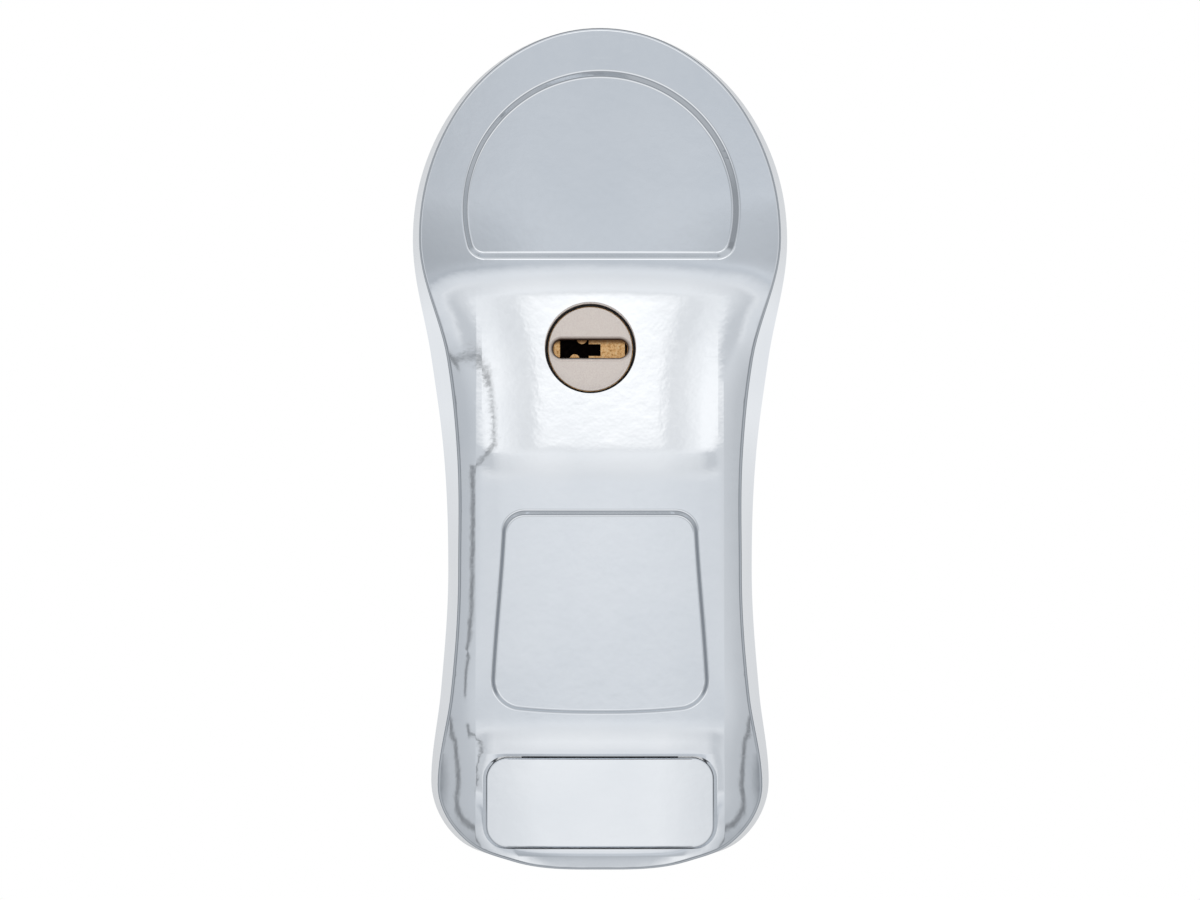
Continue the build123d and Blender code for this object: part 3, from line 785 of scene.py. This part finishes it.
pivot_y, pivot_z = 24.8, -36
coil_radius, leg_radius = 5.95, 0.62
hook_coil = coil(
    "hook_coil", coil_radius, 1.25, 2.9, 10.6, 5.75, pivot_y, pivot_z, along=X, per_turn=40
)
case_leg = rod("case_leg", leg_radius, 2.0, pivot_y + 0.6, 9.95, pivot_z + coil_radius, 16)

# Its other leg turns with the hook, clear of the stop pin, and ends in a hole in the plate
arm_y = pivot_y + coil_radius
arm_legs = [
    round_bar("arm_leg", leg_radius, 6.6, (3.55, arm_y, pivot_z - 2.7), (0, 0, 0)),
    round_bar("arm_hook", leg_radius, 6.1, (0.55, arm_y, pivot_z - 6), (0, QUARTER, 0)),
]
arm_leg = joined("arm_leg", arm_legs)
smooth(arm_leg, 60)
hook_coil = joined("hook_coil", [hook_coil, case_leg])
smooth(hook_coil, 60)

# Threaded studs, screws and rivets


def thread(outer, pitch, front, rear):
    """The profile of a thread, crest by crest."""
    points = []
    root = outer - 0.55 * pitch
    y = front
    while y + pitch <= rear + 0.01:
        points += [(root, y), (outer, y + 0.44 * pitch), (outer, y + 0.56 * pitch)]
        y += pitch
    points.append((root, y))
    return points


stud_profile = [(0, -9.5), (3.3, -9.5), (3.4, -9.2), (3.4, 0)]
stud_profile += thread(3.0, 1.0, 0.0, 15.0)
stud_profile += [(2.3, 16.0), (0, 16.0)]
studs = [turned("stud", stud_profile, x, z, 40) for x, z in stud_places]
studs = joined("threaded_studs", studs)
smooth(studs, 25)


def cross_tool(name, wide, narrow, front, rear, x, z):
    """A cross to cut into a screw's head."""
    tool = slab(name, x - wide, x + wide, front, rear, z - narrow, z + narrow)
    other = slab(name + "_b", x - narrow, x + narrow, front, rear, z - wide, z + wide)
    return cut(tool, other, "UNION")


def screw(name, radius, head_radius, head_height, seat, length, x, z, turn=0):
    """A pan-head screw with a cross recess, its head behind the seat."""
    top = seat + head_height
    dome = []
    for angle in (0, 18, 36, 54, 72):
        a = math.radians(angle)
        rise = head_height * (0.35 + 0.65 * math.sin(a))
        dome.append((head_radius * math.cos(a), seat + rise))
    profile = [(0, seat - length), (radius - 0.3, seat - length), (radius, seat - length + 0.4)]
    profile += [(radius, seat), (head_radius, seat)] + dome + [(0, top)]
    piece = turned(name, profile, x, z, 40)
    wide, narrow, bottom = head_radius * 0.55, head_radius * 0.14, top - head_height * 0.7
    tool = cross_tool(name + "_cross", wide, narrow, bottom, top + 1, x, z)
    work_on(tool)
    select_whole()
    bpy.ops.transform.rotate(
        value=math.radians(turn), orient_axis="Y", center_override=(x * mm, top * mm, z * mm)
    )
    leave()
    cut(piece, tool)
    return piece


def screws(name, node, radius, head_radius, head_height, places):
    """Screws in the places of a CAD node's, each turned its own way."""
    low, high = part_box(node)
    seat = high.y / mm - head_height
    length = seat - low.y / mm
    made = [
        screw("screw", radius, head_radius, head_height, seat, length, x, z, 17 + 31 * i)
        for i, (x, z) in enumerate(places)
    ]
    piece = joined(name, made)
    smooth(piece, 30)
    return piece


case_screws = screws("case_pan_screws", "case_screws", 2.0, 3.5, 2.4, case_screw_places)
button_screws = screws(
    "button_pan_screws", "button_screws", 1.5, 2.75, 1.6, [(x, post_z) for x in (-post_x, post_x)]
)
carrier_places = [(x, button_z + 4.4) for x in (-4.5, 4.5)]
carrier_screws = screws("carrier_pan_screws", "carrier_screws", 1.1, 1.95, 1.2, carrier_places)
crank_screw = screws("crank_pan_screw", "crank_screw", 1.5, 3.3, 0.5, [(lock_x, lock_z)])

low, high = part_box("bar_rivets")
rear = high.y / mm
rivet_profile = [(0, low.y / mm), (1.5, low.y / mm), (1.5, rear - 1.2), (2.3, rear - 1.2)]
rivet_profile += [(2.3, rear - 0.75), (2.05, rear - 0.35), (1.5, rear - 0.08), (0, rear)]
rivets = joined(
    "domed_rivets", [turned("rivet", rivet_profile, x, pivot_z - 5, 32) for x in (-5.5, 5.5)]
)
smooth(rivets, 50)

# Ring nut: a hexagon with turned corners

nut = rod("ring_nut", 11 / math.cos(math.radians(30)), -3, 0, lock_x, lock_z, 6)
corner_cut = turned(
    "corner_cut",
    [(0, -3), (11.2, -3), (12.8, -2.2), (12.8, -0.8), (11.2, 0), (0, 0)],
    lock_x,
    lock_z,
    96,
)
cut(nut, corner_cut, "INTERSECT")
cut(nut, rod("nut_bore", bore_radius, -8, 5, lock_x, lock_z, 96))
ease_edges(nut, 0.15)
smooth(nut, 30)

# Barrel of the key cylinder: threaded, with two flats

barrel_profile = [(6.55, -11), (9.3, -11), (9.5, -10.8)] + thread(9.5, 1.0, -9.0, 5.4)
barrel_profile += [(9.0, 6.0), (6.55, 6.0), (6.55, -11)]
barrel = turned("threaded_barrel", barrel_profile, lock_x, lock_z, 96)
cut(
    barrel,
    slab("barrel_flats", lock_x - 8.2, lock_x + 8.2, -20, 12, lock_z - 14, lock_z + 14),
    "INTERSECT",
)
smooth(barrel, 25)

# Finishes


def begin(name, metal=1.0):
    material = bpy.data.materials.new(name)
    material.use_nodes = True
    tree = material.node_tree
    shader = tree.nodes["Principled BSDF"]
    shader.inputs["Metallic"].default_value = metal
    return material, tree, shader


def node(tree, kind, **values):
    made = tree.nodes.new(kind)
    for key, value in values.items():
        setattr(made, key, value)
    return made


def grain(tree, scale, detail=3, stretch=(1, 1, 1), kind="noise"):
    """A pattern fixed to the piece, with its scale in repeats per metre."""
    place = node(tree, "ShaderNodeTexCoord")
    mapping = node(tree, "ShaderNodeMapping")
    mapping.inputs["Scale"].default_value = stretch
    tree.links.new(place.outputs["Object"], mapping.inputs["Vector"])
    cells = kind == "cells"
    pattern = node(tree, "ShaderNodeTexVoronoi" if cells else "ShaderNodeTexNoise")
    pattern.inputs["Scale"].default_value = scale
    if not cells:
        pattern.inputs["Detail"].default_value = detail
    tree.links.new(mapping.outputs["Vector"], pattern.inputs["Vector"])
    return pattern.outputs["Distance" if cells else "Fac"]


def ranged(tree, value, *limits):
    """Carries a value over from one range to another, given as low, high, low and high."""
    change = node(tree, "ShaderNodeMapRange")
    for key, limit in zip(("From Min", "From Max", "To Min", "To Max"), limits):
        change.inputs[key].default_value = limit
    tree.links.new(value, change.inputs["Value"])
    return change.outputs["Result"]


def tinted(tree, value, *stops):
    """A colour for each value, from stops of place and colour."""
    ramp = node(tree, "ShaderNodeValToRGB")
    keys = ramp.color_ramp.elements
    while len(keys) < len(stops):
        keys.new(0.5)
    for key, (place, colour) in zip(keys, stops):
        key.position = place
        key.color = (*colour, 1)
    tree.links.new(value, ramp.inputs["Fac"])
    return ramp.outputs["Color"]


def give(tree, socket, value):
    """Sets a socket to a number or a colour, or links a value to it."""
    if isinstance(value, (int, float)):
        socket.default_value = value
    elif isinstance(value, tuple):
        socket.default_value = (*value, 1)
    else:
        tree.links.new(value, socket)


def maths(tree, operation, *values):
    made = node(tree, "ShaderNodeMath", operation=operation)
    for socket, value in zip(made.inputs, values):
        give(tree, socket, value)
    return made.outputs[0]


def times(tree, *shares):
    total = shares[0]
    for share in shares[1:]:
        total = maths(tree, "MULTIPLY", total, share)
    return total


def blend(tree, factor, one, other):
    """Goes over from one colour to another."""
    mix = node(tree, "ShaderNodeMix", data_type="RGBA")
    for key, value in (("Factor", factor), ("A", one), ("B", other)):
        give(tree, mix.inputs[key], value)
    return mix.outputs["Result"]


def finished(tree, shader, colour, rough, *layers):
    """Gives a finish its colour, its roughness and its bumps, laid over each other.
    Each layer of bumps is a height pattern with its depth in millimetres."""
    tree.links.new(colour, shader.inputs["Base Color"])
    tree.links.new(rough, shader.inputs["Roughness"])
    last = None
    for height, depth in layers:
        bump = node(tree, "ShaderNodeBump")
        bump.inputs["Strength"].default_value = 1
        bump.inputs["Distance"].default_value = depth * mm
        tree.links.new(height, bump.inputs["Height"])
        if last:
            tree.links.new(last, bump.inputs["Normal"])
        last = bump.outputs["Normal"]
    tree.links.new(last, shader.inputs["Normal"])


def split(tree, kind):
    """A place's or a direction's coordinates X, Y and Z, in metres."""
    place = node(tree, "ShaderNodeTexCoord")
    parts = node(tree, "ShaderNodeSeparateXYZ")
    tree.links.new(place.outputs[kind], parts.inputs[0])
    return parts.outputs


def where(tree, axis):
    return split(tree, "Object")[axis]


def apart(tree, one, other):
    return maths(tree, "ABSOLUTE", maths(tree, "SUBTRACT", one, other))


def from_axis(tree, half_length=0):
    """How far a place is from the lock's axis, or from a level line on it of this half length."""
    sideways = apart(tree, where(tree, "X"), lock_x * mm)
    beyond = ranged(tree, sideways, half_length * mm, (half_length + 20) * mm, 0, 20 * mm)
    place = node(tree, "ShaderNodeCombineXYZ")
    tree.links.new(beyond, place.inputs["X"])
    tree.links.new(maths(tree, "SUBTRACT", where(tree, "Z"), lock_z * mm), place.inputs["Z"])
    length = node(tree, "ShaderNodeVectorMath", operation="LENGTH")
    tree.links.new(place.outputs["Vector"], length.inputs[0])
    return length.outputs["Value"]


def bright_chrome():
    material, tree, shader = begin("bright_chrome")
    cloud = grain(tree, 60, 2)
    colour = tinted(tree, cloud, (0.3, (0.83, 0.855, 0.885)), (0.7, (0.875, 0.895, 0.92)))
    haze = ranged(tree, grain(tree, 900, 4), 0.35, 0.7, 0.045, 0.085)
    rubbed = ranged(tree, grain(tree, 260, 5, (1, 1, 9)), 0.62, 0.72, 0, 0.05)
    rough = maths(tree, "ADD", haze, rubbed)
    ripples, fine = grain(tree, 420, 2), grain(tree, 1700, 2)
    finished(tree, shader, colour, rough, (ripples, 0.009), (fine, 0.0016))
    return material


def satin_nickel(name, painted_slot_shade=False):
    """Satin nickel with a warm cast. With painted slot shade, the slot's lip is painted dark brown
    where it falls away, most at its top: painted shade with the brass's warm reflection.
    """
    material, tree, shader = begin(name)
    fine = grain(tree, 7000, 3)
    colour = tinted(tree, fine, (0.3, (0.86, 0.745, 0.675)), (0.7, (0.99, 0.895, 0.81)))
    if painted_slot_shade:
        # Painted shade and warm reflection: the slot's lip turns dark brown where it falls away,
        # more towards its top
        lip_shade = ranged(tree, from_axis(tree, 5.05), 2.35 * mm, 1.75 * mm, 0, 1)
        upper = ranged(
            tree, where(tree, "Z"), (lock_z - 1.6) * mm, (lock_z + 1.4) * mm, 0.35, 0.97
        )
        colour = blend(tree, times(tree, lip_shade, upper), colour, (0.1, 0.05, 0.03))
    rough = ranged(tree, grain(tree, 1800, 3), 0.3, 0.7, 0.3, 0.42)
    finished(tree, shader, colour, rough, (fine, 0.006), (grain(tree, 900, 2), 0.003))
    return material


def machined_brass(name, painted_shade=False):
    """Speckled brass. With painted shade, it is painted black inwards from the plug's front, where
    the keyway lies in shade, and in the gap round the plug, and dark brown over the keyway's top.
    """
    material, tree, shader = begin(name)
    stops = (0.28, (0.45, 0.22, 0.07)), (0.5, (0.9, 0.52, 0.22)), (0.75, (0.98, 0.72, 0.4))
    colour = tinted(tree, grain(tree, 2600, 4), *stops)
    if painted_shade:
        # Painted shade: the keyway's upper side turns dark brown
        upper = ranged(tree, where(tree, "Z"), (lock_z + 0.75) * mm, (lock_z + 1.3) * mm, 0, 0.8)
        colour = blend(tree, upper, colour, (0.16, 0.07, 0.03))
        # Painted shade: black deeper than the plug's front, inside the keyway, and beyond the
        # plug's rim, in the gap round it
        deep_shade = ranged(tree, where(tree, "Y"), -11.02 * mm, -10.3 * mm, 0, 1)
        rim_gap_shade = ranged(tree, from_axis(tree), 7.1 * mm, 7.2 * mm, 0, 1)
        colour = blend(tree, maths(tree, "ADD", deep_shade, rim_gap_shade), colour, (0.008, 0.005, 0.004))
    rough = ranged(tree, grain(tree, 1500, 3), 0.3, 0.7, 0.22, 0.42)
    finished(tree, shader, colour, rough, (grain(tree, 2200, 3, (1, 6, 1)), 0.01))
    return material


def plain(name, metal, tint, stops, patches, rough_range, *bumps):
    """A finish whose colour, roughness and bumps each follow a pattern, given as for grain."""
    material, tree, shader = begin(name, metal)
    colour = tinted(tree, grain(tree, *tint), *stops)
    rough = ranged(tree, grain(tree, *patches), 0.3, 0.7, *rough_range)
    finished(tree, shader, colour, rough, *[(grain(tree, *bump), depth) for bump, depth in bumps])
    return material


chrome = bright_chrome()
nickel = satin_nickel("satin_nickel")
# Nickel with painted shade on the key slot's lip
slot_shaded_nickel = satin_nickel("slot_shaded_nickel", painted_slot_shade=True)
brass = machined_brass("machined_brass")
# Brass with painted shade in the keyway and round the plug
keyway_brass = machined_brass("brass_with_painted_shade", painted_shade=True)

# The plated casting where nobody polished it, inside the housing
casting = plain(
    "dull_casting",
    1,
    (900, 5),
    ((0.3, (0.42, 0.43, 0.45)), (0.7, (0.6, 0.61, 0.63))),
    (200, 3),
    (0.34, 0.5),
    ((900, 5), 0.02),
    ((120, 2), 0.05),
)
zinc = plain(
    "zinc_plate",
    1,
    (140, 3),
    ((0.3, (0.58, 0.61, 0.66)), (0.5, (0.68, 0.69, 0.69)), (0.72, (0.7, 0.67, 0.58))),
    (1200, 4),
    (0.2, 0.36),
    ((2600, 3), 0.003),
)
rolled = (900, 4, (1, 1, 0.06))
steel = plain(
    "rolled_steel",
    1,
    rolled,
    ((0.3, (0.44, 0.45, 0.47)), (0.7, (0.6, 0.61, 0.62))),
    rolled,
    (0.28, 0.42),
    (rolled, 0.004),
    ((300, 3), 0.01),
)
wire = plain(
    "spring_wire",
    1,
    (1600, 3),
    ((0.3, (0.34, 0.35, 0.37)), (0.7, (0.52, 0.53, 0.55))),
    (1600, 3),
    (0.2, 0.34),
    ((4000, 3), 0.002),
)
rubber = plain(
    "black_rubber",
    0,
    (500, 4),
    ((0.3, (0.012, 0.012, 0.013)), (0.75, (0.035, 0.035, 0.036))),
    (500, 4),
    (0.62, 0.82),
    ((3500, 4), 0.012),
)
nylon = plain(
    "black_nylon",
    0,
    (300, 3),
    ((0.3, (0.02, 0.02, 0.022)), (0.75, (0.045, 0.045, 0.048))),
    (1400, 3),
    (0.38, 0.55),
    ((2400, 2, (1, 1, 1), "cells"), 0.01),
)

fitted(housing, chrome, "housing", "chrome_casting", "front_housing")
housing.data.materials[INSIDE] = casting
fitted(button, chrome, "button", "chrome_casting", "push_button")
fitted(face, slot_shaded_nickel, "key_plug", "satin_nickel", "plug_face")
fitted(collar, nickel, "housing", "satin_nickel")
fitted(button_coils, wire, "housing", "spring_steel", "button_springs")
fitted(slim_coils, wire, "button", "spring_steel")
fitted(hook_coil, wire, "housing", "spring_steel", "hook_spring")
fitted(arm_leg, wire, "hook", "spring_steel")
fitted(studs, zinc, "housing", "zinc_steel", "mounting_studs")
fitted(nut, zinc, "housing", "zinc_steel", "cylinder_nut")
fitted(barrel, brass, "housing", "brass", "cylinder_barrel")

bodies = frame["record"]["behaviour"]["bodies"]
body_of = {name: body for body, names in bodies.items() for name in names}
fasteners = [
    (case_screws, "case_screws"),
    (button_screws, "button_screws"),
    (carrier_screws, "carrier_screws"),
    (crank_screw, "crank_screw"),
    (rivets, "bar_rivets"),
]
for piece, name in fasteners:
    fitted(piece, zinc, body_of[name], "zinc_steel", name)

# CAD pieces whose edges are eased: node, name, width and steps of the edge, finish and slot
eased_pieces = [
    ("lock_case", "case_plate", 0.35, 3, steel, "case_steel"),
    ("latch_hook", "hook_plate", 0.45, 3, steel, "case_steel"),
    ("lock_bar", "bar_plate", 0.25, 2, steel, "case_steel"),
    ("bar_carrier", "carrier_plate", 0.25, 2, steel, "case_steel"),
    ("cam_crank", "crank_plate", 0.3, 2, steel, "case_steel"),
    ("button_slider", "slider_moulding", 0.35, 2, nylon, "black_plastic"),
    ("cylinder_washer", "washer_ring", 0.12, 2, zinc, "zinc_steel"),
    ("pivot_spacers", "spacer_tubes", 0.35, 2, nylon, "black_plastic"),
    ("pivot_pin", "pivot_shaft", 0.3, 2, zinc, "zinc_steel"),
    ("hook_stop_pin", "stop_shaft", 0.35, 2, zinc, "zinc_steel"),
    ("pivot_clip", "clip_ring", 0.12, 2, wire, "spring_steel"),
    ("crank_pin", "crank_peg", 0.2, 2, zinc, "zinc_steel"),
    ("spring_pegs", "peg_shafts", 0.3, 2, zinc, "zinc_steel"),
    ("button_buffers", "buffer_posts", 0.5, 3, rubber, "black_rubber"),
    ("rim_gasket", "gasket_bead", 0.2, 2, rubber, "black_rubber"),
    ("cylinder_seal", "seal_ring", 0.1, 2, rubber, "black_rubber"),
]
for name, piece_name, width, steps, finish, slot in eased_pieces:
    fitted(dressed(name, piece_name, width, steps), finish, body_of[name], slot, name)

# The plug's core, stepped and gapped beside its keyway, and its wafers

core = dressed("plug_core", "core_body", 0.08, 1)
for low_z, high_z in ((0.88, 2.1), (-2.1, -1.22)):
    from_z, to_z = lock_z + low_z, lock_z + high_z
    step = slab("keyway_step", lock_x - 0.3, lock_x + 2.1, -11.08, -9.6, from_z, to_z)
    cut(core, step, "UNION")
cut(core, slab("side_gap", 4.4, 4.85, -12, -9.9, lock_z - 1.9, lock_z + 1.9))
wafers = dressed("plug_wafers", "wafer_plates", 0.06, 1)
# The core and wafers take the brass with painted shade in the keyway
fitted(core, keyway_brass, body_of["plug_core"], "brass", "plug_core")
fitted(wafers, keyway_brass, body_of["plug_wafers"], "brass", "plug_wafers")
frame["nodes"]["wafer_springs"].material_slots[0].material = wire

# Camera

view = bpy.data.cameras.new("front_camera")
view.sensor_width = 36
view.lens = view.sensor_width * camera_distance / (picture_width * photo_scale)
view.clip_start = 0.01
camera = bpy.data.objects.new("front_camera", view)
camera.location = (0, -camera_distance, -0.5 * mm)
camera.rotation_euler = (QUARTER, 0, 0)
bpy.context.scene.collection.objects.link(camera)
bpy.context.scene.camera = camera

# Studio: a pale floor far below, two soft lamps, and a room of pale cards that the chrome mirrors

deselect()
bpy.ops.mesh.primitive_plane_add(size=3, location=(0, 0, -0.5))
floor = bpy.context.object
floor.name = "studio_floor"
material, tree, shader = begin("pale_floor", 0)
colour = tinted(tree, grain(tree, 3, 2), (0.3, (0.86, 0.86, 0.86)), (0.7, (0.88, 0.88, 0.88)))
tree.links.new(colour, shader.inputs["Base Color"])
shader.inputs["Roughness"].default_value = 0.8
floor.data.materials.append(material)
floor.visible_glossy = False


def soft_lamp(name, place, size, power):
    light = bpy.data.lights.new(name, "AREA")
    light.size = size
    light.energy = power
    lamp = bpy.data.objects.new(name, light)
    lamp.location = place
    lamp.rotation_euler = (-Vector(place)).to_track_quat("-Z", "Y").to_euler()
    lamp.visible_glossy = False
    bpy.context.scene.collection.objects.link(lamp)


soft_lamp("key_lamp", (-0.7, -0.8, 0.9), 0.8, 6)
soft_lamp("rear_lamp", (0.8, 0.9, 0.6), 0.8, 5)

world = bpy.data.worlds.new("studio")
bpy.context.scene.world = world
world.use_nodes = True
tree = world.node_tree
background = tree.nodes["Background"]


def grey(level, cool=0.0):
    return (level * (1 - cool), level * (1 - cool / 3), level * (1 + cool / 2))


def cards_by(value, low, high, *stops):
    """A grey for each angle in degrees, from stops of angle, level and coolness."""
    share = ranged(tree, value, low, high, 0, 1)
    return tinted(tree, share, *[((at - low) / (high - low), grey(*tone)) for at, *tone in stops])


def close_to(value, centre, near, far):
    """One within the near distance of the centre, nought beyond the far one."""
    return ranged(tree, apart(tree, value, centre), near, far, 1, 0)


east, north, up = split(tree, "Generated")

# Where the chrome's mirrored light comes from, in degrees: its height over the level, how far it
# is aside of the camera's direction, and its polar angle from that direction
height = maths(tree, "DEGREES", maths(tree, "ARCSINE", up))
bearing = maths(tree, "DEGREES", maths(tree, "ARCTAN2", east, times(tree, north, -1)))
aside = maths(tree, "ABSOLUTE", bearing)
polar = maths(tree, "DEGREES", maths(tree, "ARCCOSINE", times(tree, north, -1)))

front_cards = cards_by(
    height,
    -90,
    90,
    (-90, 0.62),
    (-16, 0.62, 0.06),
    (-8, 0.5, 0.07),
    (-1, 0.6, 0.07),
    (1.4, 0.7, 0.07),
    (3.3, 0.63, 0.08),
    (4.6, 0.685, 0.06),
    (5.7, 0.775, 0.05),
    (7.6, 0.86, 0.04),
    (10, 0.84, 0.03),
    (13, 0.89, 0.02),
    (16.5, 0.96, 0.02),
    (18, 0.84, 0.02),
    (40, 0.86, 0.02),
    (90, 0.9),
)
pale_aside = ranged(tree, aside, 8, 11, 0, 1)
pale_above = ranged(tree, height, 16.4, 17.8, 0, 1)
front_cards = blend(tree, times(tree, pale_aside, pale_above), front_cards, grey(1.08, 0.01))
leftmost = ranged(tree, east, -0.03, 0.03, 1, 0)
dark_aside = times(tree, ranged(tree, aside, 3, 9, 0, 0.5), ranged(tree, height, 3, 4.5, 1, 0))
front_cards = blend(tree, times(tree, dark_aside, leftmost), front_cards, grey(0.4, 0.09))
foot_over, foot_under = ranged(tree, height, 10, 12, 0, 1), ranged(tree, height, 15.9, 16.6, 1, 0)
by_the_foot = times(tree, foot_over, foot_under, ranged(tree, aside, 6, 16, 0, 0.8))
front_cards = blend(tree, by_the_foot, front_cards, grey(0.6, 0.06))
by_the_pad = times(tree, ranged(tree, aside, 5, 13, 0, 0.45), close_to(height, 6.5, 2, 3))
front_cards = blend(tree, by_the_pad, front_cards, grey(0.7, 0.05))
over = ranged(tree, height, 17.6, 18.4, 0, 1)
under = ranged(tree, height, 44, 46, 1, 0)
inside = ranged(tree, aside, 6.2, 6.9, 1, 0)
softbox = times(tree, over, under, inside)
box_light = cards_by(height, 0, 90, (18.5, 0.98, 0.01), (19.7, 1.15), (21, 1.3))
front_cards = blend(tree, softbox, front_cards, box_light)
behind = (
    (60, 0.3, 0.08),
    (74, 0.3, 0.08),
    (82, 0.46, 0.07),
    (104, 0.46, 0.07),
    (112, 0.28, 0.08),
    (128, 0.28, 0.08),
    (138, 0.78, 0.04),
    (158, 0.88, 0.03),
    (170, 0.7, 0.03),
    (180, 0.56, 0.03),
)
left_cards = cards_by(
    polar, 0, 180, (26, 0.76, 0.05), (40, 0.6, 0.06), (53, 0.56, 0.06), *behind
)
right_cards = cards_by(
    polar, 0, 180, (26, 0.78, 0.04), (42, 0.6, 0.05), (53, 0.56, 0.06), *behind
)
side_cards = blend(tree, ranged(tree, east, -0.1, 0.1, 0, 1), left_cards, right_cards)
low_cards = cards_by(
    polar,
    0,
    180,
    (8, 0.62, 0.06),
    (15, 0.66, 0.05),
    (22, 0.96, 0.01),
    (32, 0.96, 0.01),
    (40, 0.74, 0.04),
    (50, 0.55, 0.06),
    (58, 0.3, 0.08),
    (73, 0.3, 0.08),
    (79, 0.5, 0.06),
)
is_low = times(tree, ranged(tree, height, -6, -14, 0, 1), ranged(tree, polar, 102, 108, 1, 0))
bright_near = times(tree, pale_above, ranged(tree, polar, 30, 40, 1, 0))
side_cards = blend(tree, bright_near, side_cards, grey(1.0, 0.01))
side_cards = blend(tree, is_low, side_cards, low_cards)
high_cards = cards_by(
    polar,
    0,
    180,
    (26, 0.86, 0.04),
    (44, 0.74, 0.05),
    (60, 0.64, 0.06),
    (84, 0.6, 0.06),
    (92, 0.2, 0.08),
    (136, 0.24, 0.08),
    (150, 0.8, 0.04),
    (180, 0.56, 0.03),
)
side_cards = blend(tree, ranged(tree, height, 28, 42, 0, 1), side_cards, high_cards)
front_cards = blend(tree, is_low, front_cards, low_cards)
cards = blend(tree, ranged(tree, polar, 26, 30, 0, 1), front_cards, side_cards)

# Seams of the tent, which the chrome shows as thin dark lines
upright = times(tree, close_to(aside, 36, 0.5, 1.6), close_to(height, 8, 2.2, 3.0))
slant_line = maths(tree, "SUBTRACT", 24, times(tree, aside, 0.42))
slanting = times(tree, close_to(height, slant_line, 0.25, 0.9), close_to(aside, 24, 11, 13))
tent_seam = times(tree, maths(tree, "MAXIMUM", upright, slanting), leftmost)
foot_seam = times(tree, close_to(polar, 48, 0.5, 1.8), close_to(height, 0, 18, 22))
seams = times(tree, maths(tree, "MAXIMUM", tent_seam, foot_seam), 0.75)
cards = blend(tree, seams, cards, grey(0.16, 0.06))

rays = node(tree, "ShaderNodeLightPath")
room_light = blend(tree, rays.outputs["Is Glossy Ray"], (0.86, 0.87, 0.89), cards)
seen = blend(tree, rays.outputs["Is Camera Ray"], room_light, (1.0, 1.0, 1.0))
tree.links.new(seen, background.inputs["Color"])

bpy.context.scene.view_settings.view_transform = "Standard"
